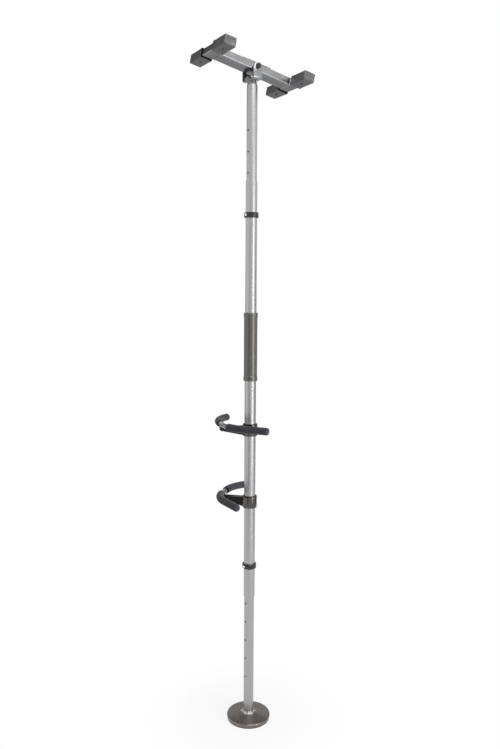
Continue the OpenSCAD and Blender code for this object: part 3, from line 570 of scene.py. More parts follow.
class Finish:
    """One procedural material, with short ways to wire patterns into its shader."""

    def __init__(self, slot, colour, metallic, roughness):
        self.material = bpy.data.materials.new(slot + FINISH_ENDING)
        self.material.use_nodes = True
        self.nodes = self.material.node_tree.nodes
        self.links = self.material.node_tree.links
        self.shader = next(n for n in self.nodes if n.type == "BSDF_PRINCIPLED")
        self.colour = tuple(colour)
        self.set("Base Color", self.colour)
        self.set("Metallic", metallic)
        self.set("Roughness", roughness)
        self.place = self.add("ShaderNodeTexCoord").outputs["Object"]

    def set(self, socket, value):
        """A value that is the same all over the surface."""
        self.shader.inputs[socket].default_value = value

    def add(self, kind, **settings):
        """A new node with its settings."""
        node = self.nodes.new(kind)
        for name, value in settings.items():
            setattr(node, name, value)
        return node

    def feed(self, socket, value):
        """Links an output into a socket, or sets the socket to a plain value."""
        if hasattr(value, "is_linked"):
            self.links.new(value, socket)
        else:
            socket.default_value = value

    def calc(self, operation, *values):
        """A sum on one or two values."""
        node = self.add("ShaderNodeMath", operation=operation)
        for socket, value in zip(node.inputs, values):
            self.feed(socket, value)
        return node.outputs[0]

    def noise(self, scale, detail=2.0, stretch=(1.0, 1.0, 1.0)):
        """Cloudy pattern about 0.5, with so many spots to the metre, stretched along the axes."""
        mapping = self.add("ShaderNodeMapping")
        self.feed(mapping.inputs["Vector"], self.place)
        mapping.inputs["Scale"].default_value = stretch
        node = self.add("ShaderNodeTexNoise")
        self.feed(node.inputs["Vector"], mapping.outputs["Vector"])
        node.inputs["Scale"].default_value = scale
        node.inputs["Detail"].default_value = detail
        return node.outputs["Fac"]

    def rings(self, radius, scale, detail):
        """Fine rings round an axis, with so many to the metre."""
        node = self.add("ShaderNodeTexNoise", noise_dimensions="1D")
        self.feed(node.inputs["W"], radius)
        node.inputs["Scale"].default_value = scale
        node.inputs["Detail"].default_value = detail
        return node.outputs["Fac"]

    def blend(self, first, second, share):
        """A sum of two patterns, with so large a share of the first."""
        return self.calc(
            "ADD", self.calc("MULTIPLY", first, share), self.calc("MULTIPLY", second, 1.0 - share))

    def axes(self):
        """The place's X, Y and Z on their own."""
        node = self.add("ShaderNodeSeparateXYZ")
        self.feed(node.inputs["Vector"], self.place)
        return node.outputs["X"], node.outputs["Y"], node.outputs["Z"]

    def spread(self, pattern, low, high, start=0.3, end=0.7):
        """Maps a pattern onto a range of values."""
        node = self.add("ShaderNodeMapRange")
        self.feed(node.inputs["Value"], pattern)
        node.inputs["From Min"].default_value = start
        node.inputs["From Max"].default_value = end
        node.inputs["To Min"].default_value = low
        node.inputs["To Max"].default_value = high
        return node.outputs["Result"]

    def rough(self, pattern, low, high):
        """Lets a pattern vary the roughness."""
        self.feed(self.shader.inputs["Roughness"], self.spread(pattern, low, high))

    def colour_mix(self, share):
        """Sends a mix of two colours to the shader, and gives the mix's two colour sockets."""
        node = self.add("ShaderNodeMix", data_type="RGBA")
        self.feed(node.inputs["Factor"], share)
        mixed = next(s for s in node.outputs if s.type == "RGBA")
        self.feed(self.shader.inputs["Base Color"], mixed)
        return [s for s in node.inputs if s.type == "RGBA"]

    def mottle(self, pattern, dark, light):
        """Lets a pattern vary the colour, from one share of it to another."""
        sockets = self.colour_mix(self.spread(pattern, 0.0, 1.0))
        for socket, share in zip(sockets, (dark, light)):
            shade = [min(1.0, part * share) for part in self.colour[:3]]
            socket.default_value = (*shade, 1.0)

    def over(self, mask, colour):
        """Lays another colour over the surface where a mask is 1."""
        before = self.shader.inputs["Base Color"].links[0].from_socket
        under, above = self.colour_mix(mask)
        self.feed(under, before)
        above.default_value = colour

    def relief(self, pattern, strength, depth):
        """Lets a pattern raise and sink the surface."""
        node = self.add("ShaderNodeBump")
        node.inputs["Strength"].default_value = strength
        node.inputs["Distance"].default_value = depth
        self.feed(node.inputs["Height"], pattern)
        self.feed(self.shader.inputs["Normal"], node.outputs["Normal"])


def drawn_tube(slot, colour):
    """Satin aluminium with fine streaks along the tube."""
    finish = Finish(slot, colour, metallic=1.0, roughness=0.34)
    streaks = finish.noise(scale=1.0, detail=3.0, stretch=(260.0, 260.0, 2.2))
    fine = finish.noise(scale=1.0, detail=2.0, stretch=(1500.0, 1500.0, 14.0))
    both = finish.blend(streaks, fine, share=0.7)
    finish.mottle(both, dark=0.97, light=1.03)
    finish.rough(both, low=0.32, high=0.38)
    finish.relief(fine, strength=0.03, depth=0.0001)
    return finish


# Distances from the dish's middle, in metres, over which its polished neck with painted highlight
# ends and its polished rim with painted shade starts.
NECK_BAND = (0.0232, 0.0244)
RIM_BAND = (0.0780, 0.0800)


def spun_dish(slot, colour):
    """Stainless steel with the fine rings that spinning leaves, and a polished neck and rim. The
    neck's pale colour is partly polish, partly painted highlight; the rim's dark colour is painted
    shade.
    """
    colours = bpy.context.scene.pole_finish_colours
    brushing, polish_gain = 0.72, 0.14
    finish = Finish(slot, colour, metallic=1.0, roughness=0.30)
    across, back, _ = finish.axes()
    squares = [finish.calc("MULTIPLY", side, side) for side in (across, back)]
    radius = finish.calc("SQRT", finish.calc("ADD", *squares))
    rings = finish.rings(radius, scale=1900.0, detail=3.0)
    smears = finish.noise(scale=38.0, detail=3.0)
    both = finish.blend(rings, smears, share=0.6)
    neck = finish.spread(radius, 1.0, 0.0, *NECK_BAND)
    rim = finish.spread(radius, 0.0, 1.0, *RIM_BAND)
    polish = finish.calc("MAXIMUM", neck, rim)
    finish.mottle(both, dark=0.86, light=1.10)
    # Pale neck: partly polish, partly painted highlight.
    finish.over(neck, colours.dish_neck)
    # Dark rim: painted shade on its side wall.
    finish.over(rim, colours.dish_rim)
    worn = finish.spread(both, low=0.24, high=0.36)
    smoother = finish.calc("MULTIPLY", polish, polish_gain)
    finish.feed(finish.shader.inputs["Roughness"], finish.calc("SUBTRACT", worn, smoother))
    plain = finish.calc("SUBTRACT", 1.0, polish)
    finish.feed(finish.shader.inputs["Anisotropic"], finish.calc("MULTIPLY", plain, brushing))
    finish.relief(rings, strength=0.10, depth=0.0002)
    round_axis = finish.add("ShaderNodeTangent", direction_type="RADIAL", axis="Z")
    finish.feed(finish.shader.inputs["Tangent"], round_axis.outputs["Tangent"])
    return finish


def plain_metal(roughness, metallic=1.0):
    """A maker of metals with fine tool marks."""
    def make(slot, colour):
        finish = Finish(slot, colour, metallic, roughness)
        marks = finish.noise(scale=700.0, detail=3.0, stretch=(1.0, 1.0, 0.35))
        finish.mottle(marks, dark=0.90, light=1.06)
        finish.rough(marks, low=roughness * 0.8, high=roughness * 1.25)
        finish.relief(marks, strength=0.08, depth=0.0001)
        return finish
    return make


def bright_plating(slot, colour):
    """Bright plating with a faint haze and finger smears."""
    finish = Finish(slot, colour, metallic=1.0, roughness=0.07)
    haze = finish.noise(scale=45.0, detail=4.0)
    finish.mottle(haze, dark=0.82, light=1.10)
    finish.rough(haze, low=0.04, high=0.11)
    return finish


def painted(roughness, metallic=0.0, gloss=0.5, depth=0.00018):
    """A maker of baked paints with their faint orange peel."""
    def make(slot, colour):
        finish = Finish(slot, colour, metallic, roughness)
        finish.set("Specular IOR Level", gloss)
        peel = finish.noise(scale=520.0, detail=2.0)
        cloud = finish.noise(scale=26.0, detail=4.0)
        finish.mottle(cloud, dark=0.93, light=1.05)
        finish.rough(cloud, low=roughness * 0.88, high=roughness * 1.14)
        finish.relief(peel, strength=0.16, depth=depth)
        return finish
    return make


def moulded(roughness, grain, depth, light=1.12):
    """A maker of moulded rubbers and plastics with a fine grain."""
    def make(slot, colour):
        finish = Finish(slot, colour, 0.0, roughness)
        pattern = finish.noise(scale=grain, detail=3.0)
        cloud = finish.noise(scale=30.0, detail=4.0)
        finish.mottle(cloud, dark=0.88, light=light)
        finish.rough(pattern, low=roughness * 0.88, high=roughness * 1.12)
        finish.relief(pattern, strength=0.35, depth=depth)
        return finish
    return make


def knurled_rubber(slot, colour):
    """Rubber sleeve with a fine diamond grip pattern round it."""
    radius, rows, clouding = 0.024, 1250.0, 0.6
    finish = Finish(slot, colour, metallic=0.0, roughness=0.28)
    finish.set("Specular IOR Level", 1.0)
    finish.set("Specular Tint", (1.0, 0.95, 0.90, 1.0))
    finish.set("Coat Weight", 0.5)
    finish.set("Coat Roughness", 0.34)
    across, back, up = finish.axes()
    arc = finish.calc("MULTIPLY", finish.calc("ARCTAN2", back, across), radius)
    rising, falling = (
        finish.calc("SINE", finish.calc("MULTIPLY", finish.calc(way, arc, up), rows))
        for way in ("ADD", "SUBTRACT")
    )
    diamonds = finish.calc("MULTIPLY_ADD", finish.calc("MULTIPLY", rising, falling), 0.5, 0.5)
    cloud = finish.noise(scale=55.0, detail=4.0)
    finish.mottle(cloud, dark=0.86, light=1.14)
    finish.rough(cloud, low=0.18, high=0.25)
    height = finish.calc("ADD", diamonds, finish.calc("MULTIPLY", cloud, clouding))
    finish.relief(height, strength=0.20, depth=0.0006)
    return finish


def soft_foam(slot, colour):
    """Closed-cell foam with fine pores and a dry, dusty sheen."""
    finish = Finish(slot, colour, metallic=0.0, roughness=0.88)
    finish.set("Sheen Weight", 0.24)
    finish.set("Sheen Roughness", 0.45)
    finish.set("Specular IOR Level", 0.30)
    pores = finish.noise(scale=1500.0, detail=3.0)
    cloud = finish.noise(scale=42.0, detail=4.0)
    finish.mottle(cloud, dark=0.84, light=1.18)
    finish.relief(pores, strength=0.45, depth=0.0005)
    return finish


FINISH_MAKERS = {
    "tube_silver": drawn_tube,
    "dish_steel": spun_dish,
    "hidden_steel": plain_metal(roughness=0.32),
    "bright_screws": plain_metal(roughness=0.20),
    "bright_pin": plain_metal(roughness=0.10),
    "bronze": plain_metal(roughness=0.35),
    "mat_rubber": moulded(roughness=0.80, grain=900.0, depth=0.0004),
    "pad_rubber": moulded(roughness=0.44, grain=650.0, depth=0.0002),
    "grip_rubber": knurled_rubber,
    "foam": soft_foam,
    "nylon": moulded(roughness=0.45, grain=500.0, depth=0.0002, light=1.03),
    "black_nylon": moulded(roughness=0.42, grain=600.0, depth=0.0002),
    "ring_plastic": moulded(roughness=0.20, grain=400.0, depth=0.00008),
    "frame_paint": painted(roughness=0.22, metallic=0.95, depth=0.00006),
    "black_steel": plain_metal(roughness=0.34, metallic=0.8),
    "arm_paint": painted(roughness=0.24, gloss=0.15),
    "dark_chrome": bright_plating,
    "bar_chrome": bright_plating,
}


def finish_for(slot):
    """The finish of one material slot, made when it is first asked for."""
    ready = bpy.data.materials.get(slot + FINISH_ENDING)
    if ready:
        return ready
    colour = getattr(bpy.context.scene.pole_finish_colours, slot)
    return FINISH_MAKERS[slot](slot, colour).material


def dress(*nodes, finish=None):
    """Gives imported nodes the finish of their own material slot, or another that is named."""
    for node in nodes:
        for material_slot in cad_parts[node].material_slots:
            own = material_slot.material.name.split(".")[0]
            material_slot.material = finish_for(finish or own)


# New objects in the scene.

def mesh_of(name, bm):
    """A mesh from a shape, which is then let go."""
    mesh = bpy.data.meshes.new(name)
    bm.to_mesh(mesh)
    bm.free()
    return mesh


def stand(name, data):
    """A new object in the scene."""
    made = bpy.data.objects.new(name, data)
    bpy.context.scene.collection.objects.link(made)
    return made


def aim(thing, place, target):
    """Sets a lamp or a card at a place, so that it faces a point."""
    thing.location = place
    thing.rotation_mode = "QUATERNION"
    thing.rotation_quaternion = (Vector(target) - Vector(place)).to_track_quat("-Z", "Y")


def empty_tree(holder):
    """Cleared nodes of a material or a world, and their links."""
    holder.use_nodes = True
    holder.node_tree.nodes.clear()
    return holder.node_tree.nodes, holder.node_tree.links


def piece(name, bm, slot, body, *nodes):
    """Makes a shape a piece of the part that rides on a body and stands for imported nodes."""
    mesh = mesh_of(name, bm)
    stale = mesh.attributes.get("custom_normal")
    if stale:
        mesh.attributes.remove(stale)
    mesh.shade_smooth()
    mesh.set_sharp_from_angle(angle=SHARP)
    mesh.materials.clear()
    mesh.materials.append(finish_for(slot))
    made = stand(name, mesh)
    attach(made, body)
    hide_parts(*nodes)
    return made


class POLE_OT_foot(Operator):
    """Makes the spun floor dish and its screws, and finishes the hidden foot"""

    bl_idname = "pole.foot"
    bl_label = "Floor Dish"

    def dish(self, sizes):
        """Dish spun from one sheet, with a rolled rim and a neck round the pole."""
        inner = sizes.neck_radius - sizes.sheet
        under = sizes.land_height - sizes.sheet
        wall = sizes.dish_radius - sizes.sheet
        lip_in = sizes.dish_radius - sizes.lip
        lip_top = sizes.mat_height + sizes.sheet
        foot = (sizes.dish_radius, sizes.mat_height)
        rim = (sizes.dish_radius, sizes.rim_top)
        land_edge = (sizes.land_radius, sizes.land_height)
        neck_foot = (sizes.neck_radius, sizes.land_height)
        neck_edges = [(sizes.neck_radius, sizes.neck_top), (inner, sizes.neck_top)]
        dish = turned([
            (lip_in, sizes.mat_height), foot, rim, land_edge, neck_foot, *neck_edges,
            (inner, under), (sizes.land_radius, under), (wall, sizes.rim_top - sizes.sheet),
            (wall, lip_top), (lip_in, lip_top),
        ], DISH_STEPS)
        eased(dish, ring_at(dish, *rim), sizes.rim_round, segments=6)
        eased(dish, ring_at(dish, *neck_foot), sizes.neck_fillet, segments=8)
        eased(dish, ring_at(dish, *land_edge), sizes.sheet, segments=4)
        for edge in neck_edges:
            eased(dish, ring_at(dish, *edge), sizes.neck_edge)
        return eased(dish, ring_at(dish, *foot), sizes.mat_edge)

    def execute(self, context):
        sizes = context.scene.pole_foot_sizes
        piece("spun_dish", self.dish(sizes), "dish_steel", "base", "base_dish")
        seat = Matrix.Translation((sizes.screw_circle, 0.0, sizes.land_height))
        screws = []
        for number in range(sizes.screw_count):
            heading = turn(math.tau * number / sizes.screw_count)
            screws.append(moved(socket_screw(sizes), heading @ seat))
        piece("dish_screws", gathered(screws), "bright_screws", "base", "base_screws")
        dress("base_hub", "base_mat", "thrust_washer", "retaining_washer", "foot_bolt", "foot_plug")
        return {"FINISHED"}


class POLE_OT_tubes(Operator):
    """Finishes the three tubes, their glides and the jack's nose"""

    bl_idname = "pole.tubes"
    bl_label = "Tubes"

    def execute(self, context):
        dress("lower_tube", "main_tube", "upper_tube", "lower_glide", "upper_glide", "jack_nut")
        return {"FINISHED"}


class POLE_OT_sleeve(Operator):
    """Makes the rubber sleeve with its two end beads"""

    bl_idname = "pole.sleeve"
    bl_label = "Rubber Sleeve"

    def execute(self, context):
        sizes = context.scene.pole_shaft_sizes
        low, high = (corner.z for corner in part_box("pole_grip"))
        step = sizes.bead_radius - sizes.grip_radius
        bead_low, bead_high = low + sizes.bead_height, high - sizes.bead_height
        body_low, body_high = bead_low + step, bead_high - step
        sleeve = turned([
            (sizes.grip_bore, low), (sizes.bead_radius, low), (sizes.bead_radius, bead_low),
            (sizes.grip_radius, body_low), (sizes.grip_radius, body_high),
            (sizes.bead_radius, bead_high), (sizes.bead_radius, high), (sizes.grip_bore, high),
        ], SLEEVE_STEPS)
        for height in (low, bead_low, bead_high, high):
            eased(sleeve, ring_at(sleeve, sizes.bead_radius, height), step, segments=4)
        for height in (body_low, body_high):
            eased(sleeve, ring_at(sleeve, sizes.grip_radius, height), sizes.bead_fillet)
        piece("rubber_sleeve", outward(sleeve), "grip_rubber", "main_pole", "pole_grip")
        return {"FINISHED"}


class POLE_OT_locks(Operator):
    """Makes the two lock rings and their pins"""

    bl_idname = "pole.locks"
    bl_label = "Locks"

    def pin(self, sizes, tip, end):
        """Lock pin along Z, with its head at the upper end."""
        under = end - sizes.pin_head_height
        pin = turned([
            (0.0, tip), (sizes.pin_radius, tip), (sizes.pin_radius, under),
            (sizes.pin_head, under), (sizes.pin_head, end), (0.0, end),
        ], ROD_STEPS)
        eased(pin, ring_at(pin, sizes.pin_head, end), sizes.pin_head_ease, segments=5)
        return eased(pin, ring_at(pin, sizes.pin_radius, tip), sizes.pin_tip_ease)

    def execute(self, context):
        sizes = context.scene.pole_shaft_sizes
        for level in LEVELS:
            ring, pin = level + "_lock_ring", level + "_lock_pin"
            gloss_ring = eased_copy(ring, sizes.ring_ease)
            piece(level + "_gloss_ring", gloss_ring, "ring_plastic", "main_pole", ring)
            middle = middle_of(pin)
            heading = math.atan2(middle.y, middle.x)
            way = Vector((math.cos(heading), math.sin(heading), 0.0))
            reach = [vert.co.dot(way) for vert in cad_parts[pin].data.vertices]
            place = lift(middle.z) @ turn(heading) @ turn(math.pi / 2, "Y")
            pull_pin = moved(self.pin(sizes, min(reach), max(reach)), place)
            piece(level + "_pull_pin", pull_pin, "bright_pin", level + "_pin", pin)
        return {"FINISHED"}


class POLE_OT_handles(Operator):
    """Makes the two bow handles: collars, arms and foam grips, and finishes their other nodes"""

    bl_idname = "pole.handles"
    bl_label = "Handles"

    def bend_run(self, sizes):
        """Length that a bend takes off each of its straight legs."""
        return sizes.bend_radius * math.tan(sizes.bend_angle / 2)

    def spot(self, sizes, side, corner, along):
        """Place on the bar's middle line, so far along it from the start of one side's bend."""
        start = side * (corner - self.bend_run(sizes))
        bent = min(max(along, 0.0), sizes.bend_radius * sizes.bend_angle)
        return (
            Matrix.Translation((sizes.bar_out - sizes.bend_radius, start, sizes.bar_rise))
            @ turn(side * bent / sizes.bend_radius)
            @ Matrix.Translation((sizes.bend_radius, side * (along - bent), 0.0))
        )

    def rings(self, sizes, start, bar_end):
        """Rings of a foam grip as (along, radius): out through its bore, then back over it."""
        bore, full = sizes.bar_radius + FOAM_GAP, sizes.foam_radius
        soft, rounded = sizes.foam_soft, sizes.foam_round
        deep, first = bar_end + FOAM_GAP, start + soft
        last = bar_end + sizes.foam_end - rounded
        quarter = [share * math.pi / 2 for share in shares(FOAM_EDGE_STEPS)]
        return [
            *((deep + (start - deep) * share, bore) for share in shares(FOAM_STEPS)),
            *((first - soft * math.cos(a), full - soft * (1.0 - math.sin(a))) for a in quarter),
            *((first + (last - first) * share, full) for share in shares(FOAM_STEPS)[1:]),
            *((last + rounded * math.sin(a), full - rounded * (1.0 - math.cos(a)))
              for a in quarter[1:]),
        ]

    def foam(self, sizes, side, corner, end, start):
        """Foam grip along one half of the bar: side is 1 towards +Y and -1 towards -Y."""
        bar_end = sizes.bend_radius * sizes.bend_angle + end - self.bend_run(sizes)
        rings = self.rings(sizes, start, bar_end)
        along, before = rings[0]
        place = self.spot(sizes, side, corner, along)
        bm = bmesh.new()
        loop = circle(bm, before, FOAM_SIDES, place @ turn(math.pi / 2, "X"))
        capped(bm, loop)
        for along, radius in rings[1:]:
            onward = self.spot(sizes, side, corner, along)
            change = onward @ Matrix.Scale(radius / before, 4) @ place.inverted()
            loop = carried(bm, loop, change)
            place, before = onward, radius
        capped(bm, grown(bm, loop, factor=FOAM_TIP_SHARE))
        return outward(bm)

    def arm(self, sizes):
        """Tapered arm with the post that carries the bar."""
        root, shoulder, tip = sizes.arm_root, sizes.arm_shoulder, sizes.arm_tip
        outline = [
            (root, -sizes.root_low), (shoulder, -sizes.root_low), (tip, sizes.tip_low),
            (tip, sizes.tip_high), (shoulder, sizes.root_high), (root, sizes.root_high),
        ]
        width = sizes.arm_width
        bm = bmesh.new()
        side = bm.faces.new([bm.verts.new((out, -width / 2, up)) for out, up in outline])
        made = bmesh.ops.extrude_face_region(bm, geom=[side])["geom"]
        bmesh.ops.translate(bm, verts=only(bmesh.types.BMVert, made), vec=(0.0, width, 0.0))
        bmesh.ops.recalc_face_normals(bm, faces=bm.faces)
        free = [e for e in sharp_edges(bm) if max(v.co.x for v in e.verts) > shoulder + WELD]
        eased(bm, free, sizes.arm_ease, segments=4)
        post = rod(sizes.boss_radius, sizes.boss_foot, sizes.bar_rise - OVERLAP)
        return gathered([bm, moved(post, Matrix.Translation((sizes.bar_out, 0.0, 0.0)))])

    def execute(self, context):
        sizes = context.scene.pole_handle_sizes
        for level in LEVELS:
            place, body = handle_place(level), level + "_handle"
            bare = sizes.bend_radius * getattr(sizes, level + "_bare")
            for grip, side, corner, end, start in (
                ("long", 1, sizes.long_corner, sizes.long_end, bare),
                ("short", -1, sizes.short_corner, sizes.short_end, -sizes.short_run),
            ):
                shape = moved(self.foam(sizes, side, corner, end, start), place)
                node = f"{level}_{grip}_grip"
                made = piece(f"{level}_{grip}_foam", shape, "foam", body, node)
            arm = moved(self.arm(sizes), place)
            piece(level + "_tapered_arm", arm, "arm_paint", body, level + "_arm")
            collar = eased_copy(level + "_collar", sizes.collar_ease)
            # The collar's dark colour is painted shade, standing in for reflections of dark
            # surroundings.
            piece(level + "_bright_collar", collar, "dark_chrome", body, level + "_collar")
            dress(level + "_liner", level + "_set_screws", level + "_tip_screw")
            # The bars' darkened chrome is painted shade as well.
            dress(level + "_bar", finish="bar_chrome")
        return {"FINISHED"}


class POLE_OT_jack(Operator):
    """Makes the jack's threaded spindle, and finishes its stop ring"""

    bl_idname = "pole.jack"
    bl_label = "Ceiling Jack"

    def thread(self, sizes, foot, top):
        """Thread between two heights, with flat ends."""
        pitch, depth = sizes.thread_pitch, sizes.thread_depth
        root, start = sizes.thread_radius - depth, foot - THREAD_LEAD * pitch
        turns = math.ceil((top - foot) / pitch) + THREAD_SPARE
        bm = bmesh.new()
        verts = [
            bm.verts.new((root + depth * out, 0.0, start + pitch * up)) for out, up in THREAD_SHARES
        ]
        edges = [bm.edges.new(pair) for pair in zip(verts, verts[1:])]
        bmesh.ops.spin(
            bm, geom=verts + edges, cent=(0, 0, 0), axis=(0, 0, 1),
            dvec=(0, 0, pitch / THREAD_STEPS), angle=math.tau * turns, steps=THREAD_STEPS * turns,
        )
        bmesh.ops.remove_doubles(bm, verts=bm.verts, dist=THREAD_WELD)
        for height, way in ((foot, -1), (top, 1)):
            cut = bmesh.ops.bisect_plane(
                bm, geom=everything(bm), plane_co=(0, 0, height), plane_no=(0, 0, way),
                clear_outer=True, dist=CUT_SLACK,
            )
            rim = [e for e in only(bmesh.types.BMEdge, cut["geom_cut"]) if e.is_boundary]
            bmesh.ops.edgenet_fill(bm, edges=rim)
        bmesh.ops.recalc_face_normals(bm, faces=bm.faces)
        return bm

    def execute(self, context):
        sizes = context.scene.pole_shaft_sizes
        low, high = (corner.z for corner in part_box("jack_spindle"))
        foot, top = low + sizes.thread_foot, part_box("clevis")[0].z
        stud = rod(sizes.stud_radius, top - OVERLAP, high)
        eased(stud, ring_at(stud, sizes.stud_radius, high), sizes.stud_ease)
        pin = rod(sizes.stud_radius, low, foot + OVERLAP)
        spindle = gathered([self.thread(sizes, foot, top), stud, pin])
        piece("threaded_spindle", spindle, "hidden_steel", "jack", "jack_spindle")
        dress("spindle_stop")
        return {"FINISHED"}


class POLE_OT_clevis(Operator):
    """Makes the folded clevis with its pivot bolt and nut, and finishes its washers"""

    bl_idname = "pole.clevis"
    bl_label = "Clevis"

    def fold(self, bm, loop, middle):
        """Carries an edge through a quarter turn about a line along X."""
        made = bmesh.ops.spin(
            bm, geom=loop, cent=middle, axis=(1, 0, 0), angle=math.pi / 2, steps=FOLD_STEPS
        )
        return only(bmesh.types.BMEdge, made["geom_last"])

    def folded(self, sizes, floor, top):
        """Folded plate: two cheeks and the web between them."""
        half, out, bend = sizes.clevis_width / 2, sizes.clevis_half, sizes.clevis_bend
        bm = bmesh.new()
        edge = bm.edges.new([bm.verts.new((x, -out, top)) for x in (-half, half)])
        loop = grown(bm, [edge], (0.0, 0.0, floor + bend - top))
        loop = self.fold(bm, loop, (0.0, bend - out, floor + bend))
        loop = grown(bm, loop, (0.0, 2 * (out - bend), 0.0))
        loop = self.fold(bm, loop, (0.0, out - bend, floor + bend))
        grown(bm, loop, (0.0, 0.0, top - floor - bend))
        bmesh.ops.remove_doubles(bm, verts=bm.verts, dist=WELD)
        for side in (-1, 1):
            bmesh.ops.bisect_plane(
                bm, geom=everything(bm), clear_outer=True,
                plane_co=(side * half, 0.0, top - sizes.bevel_height),
                plane_no=(side * sizes.bevel_height, 0.0, sizes.bevel_width),
            )
        bmesh.ops.recalc_face_normals(bm, faces=bm.faces)
        web = min(bm.faces, key=lambda face: face.calc_center_median().z)
        wall = sizes.clevis_sheet if web.normal.z < 0 else -sizes.clevis_sheet
        bmesh.ops.solidify(bm, geom=bm.faces[:], thickness=wall)
        bmesh.ops.recalc_face_normals(bm, faces=bm.faces)
        return eased(bm, sharp_edges(bm, CLEVIS_EDGE), sizes.clevis_ease)

    def execute(self, context):
        sizes = context.scene.pole_ceiling_sizes
        place = clevis_place()
        low, high = (corner.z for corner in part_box("clevis"))
        plate = moved(self.folded(sizes, low, high), place)
        piece("folded_clevis", plate, "frame_paint", "bracket", "clevis")
        pivot = middle_of("crossbar").z
        near, far = (
            place @ Matrix.Translation((0.0, side * sizes.clevis_half, pivot))
            @ turn(-side * math.pi / 2, "X") for side in (-1, 1)
        )
        reach = 2 * sizes.clevis_half + sizes.nut_height + sizes.bolt_tail
        shank = rod(sizes.bolt_radius, -reach, OVERLAP)
        eased(shank, ring_at(shank, sizes.bolt_radius, -reach), sizes.bolt_ease)
        bolt = gathered([hexagon_head(sizes.bolt_flats, sizes.bolt_head), shank])
        piece("hexagon_bolt", moved(bolt, near), "black_steel", "bracket", "pivot_bolt")
        nut = hexagon_head(sizes.bolt_flats, sizes.nut_height)
        piece("locking_nut", moved(nut, far), "black_steel", "bracket", "pivot_nut")
        dress("stud_nut", "pivot_washers")
        return {"FINISHED"}


class POLE_OT_ceiling_frame(Operator):
    """Makes the crossbar, the cross tubes with their welds, and the four ceiling pads"""

    bl_idname = "pole.ceiling_frame"
    bl_label = "Ceiling Frame"

    def weld(self, sizes, size):
        """Rippled weld bead along Y, about its middle."""
        ripples = max(1, round(size / sizes.weld_ripple))
        start = Matrix.Translation((0.0, -size / 2, 0.0)) @ turn(math.pi / 2, "X")
        bm = bmesh.new()
        loop = circle(bm, sizes.weld_radius * WELD_THIN_SHARE, WELD_SIDES, start)
        capped(bm, loop)
        for ripple in range(ripples):
            swell = 1 / WELD_SWELL_SHARE if ripple % 2 else WELD_SWELL_SHARE
            loop = grown(bm, loop, (0.0, size / ripples, 0.0), swell)
        capped(bm, loop)
        bmesh.ops.recalc_face_normals(bm, faces=bm.faces)
        return bm

    def crossbar(self, sizes):
        """Crossbar with the welds that join it to the cross tubes."""
        half_w, half_h = sizes.crossbar_width / 2, sizes.crossbar_height / 2
        bar = block(sizes.crossbar_length, sizes.crossbar_width, sizes.crossbar_height)
        shapes = [eased(bar, edges_along(bar, 0), sizes.tube_round, segments=5)]
        for side in (-1, 1):
            joint = side * sizes.crossbar_length / 2
            top = self.weld(sizes, sizes.crossbar_width - sizes.top_weld_gap)
            shapes.append(moved(top, Matrix.Translation((joint, 0.0, half_h))))
            for end in ENDS.values():
                upright = self.weld(sizes, sizes.crossbar_height - sizes.side_weld_gap)
                beside = Matrix.Translation((joint, end * half_w, 0.0))
                shapes.append(moved(upright, beside @ turn(math.pi / 2, "X")))
        return gathered(shapes)

    def inset(self, bm, face, width, rise=0.0):
        """Draws a face in by a width, and raises it."""
        bmesh.ops.inset_region(bm, faces=[face], thickness=width, depth=rise, use_even_offset=True)

    def pad(self, sizes, end):
        """Moulded pad along Y with a hollow mouth: end is 1 to point along +Y and -1 along -Y."""
        def reach(face):
            """How far out a face lies, to the hundredth of a millimetre."""
            return round(end * face.calc_center_median().y, 5)
        bm = block(sizes.pad_width, sizes.pad_length, sizes.pad_height)
        mouth, closed = min(bm.faces, key=reach), max(bm.faces, key=reach)
        soft = edges_along(bm, 1) + list(closed.edges)
        self.inset(bm, mouth, sizes.pad_wall)
        hollow = sizes.pad_length - sizes.pad_wall
        bmesh.ops.translate(bm, verts=mouth.verts, vec=(0.0, end * hollow, 0.0))
        eased(bm, soft, sizes.pad_round, segments=5)
        panel = max(bm.faces, key=lambda face: (reach(face), face.calc_area()))
        self.inset(bm, panel, sizes.pad_border)
        self.inset(bm, panel, sizes.panel_step, -sizes.panel_depth)
        return outward(bm)

    def execute(self, context):
        sizes = context.scene.pole_ceiling_sizes
        place, body = frame_place(), "ceiling_frame"
        bar = moved(self.crossbar(sizes), place)
        piece("welded_crossbar", bar, "frame_paint", body, "crossbar")
        plate_width = sizes.crossbar_width - sizes.saddle_gap
        plate = block(sizes.saddle_length, plate_width, sizes.saddle_height)
        eased(plate, sharp_edges(plate), sizes.saddle_ease)
        on_bar = lift((sizes.crossbar_height + sizes.saddle_height) / 2)
        piece("doubling_plate", moved(plate, place @ on_bar), "frame_paint", body, "saddle_plate")
        inverse = place.inverted()
        screws = []
        for side in SIDES:
            node = side + "_cross_tube"
            tube = block(sizes.tee_width, sizes.tee_length, sizes.tee_height)
            eased(tube, edges_along(tube, 1), sizes.tube_round, segments=5)
            seat = place @ Matrix.Translation(inverse @ middle_of(node))
            piece(side + "_welded_tube", moved(tube, seat), "frame_paint", body, node)
            for end, way in ENDS.items():
                node = f"{side}_{end}_pad"
                seat = place @ Matrix.Translation(inverse @ middle_of(node))
                pad = moved(self.pad(sizes, way), seat)
                piece(f"{side}_{end}_cap", pad, "pad_rubber", body, node)
                under = seat @ lift(-sizes.pad_height / 2) @ turn(math.pi, "X")
                screws.append(moved(socket_screw(sizes), under))
        piece("cap_screws", gathered(screws), "black_steel", body, "pad_screws")
        dress("pivot_sleeve")
        return {"FINISHED"}


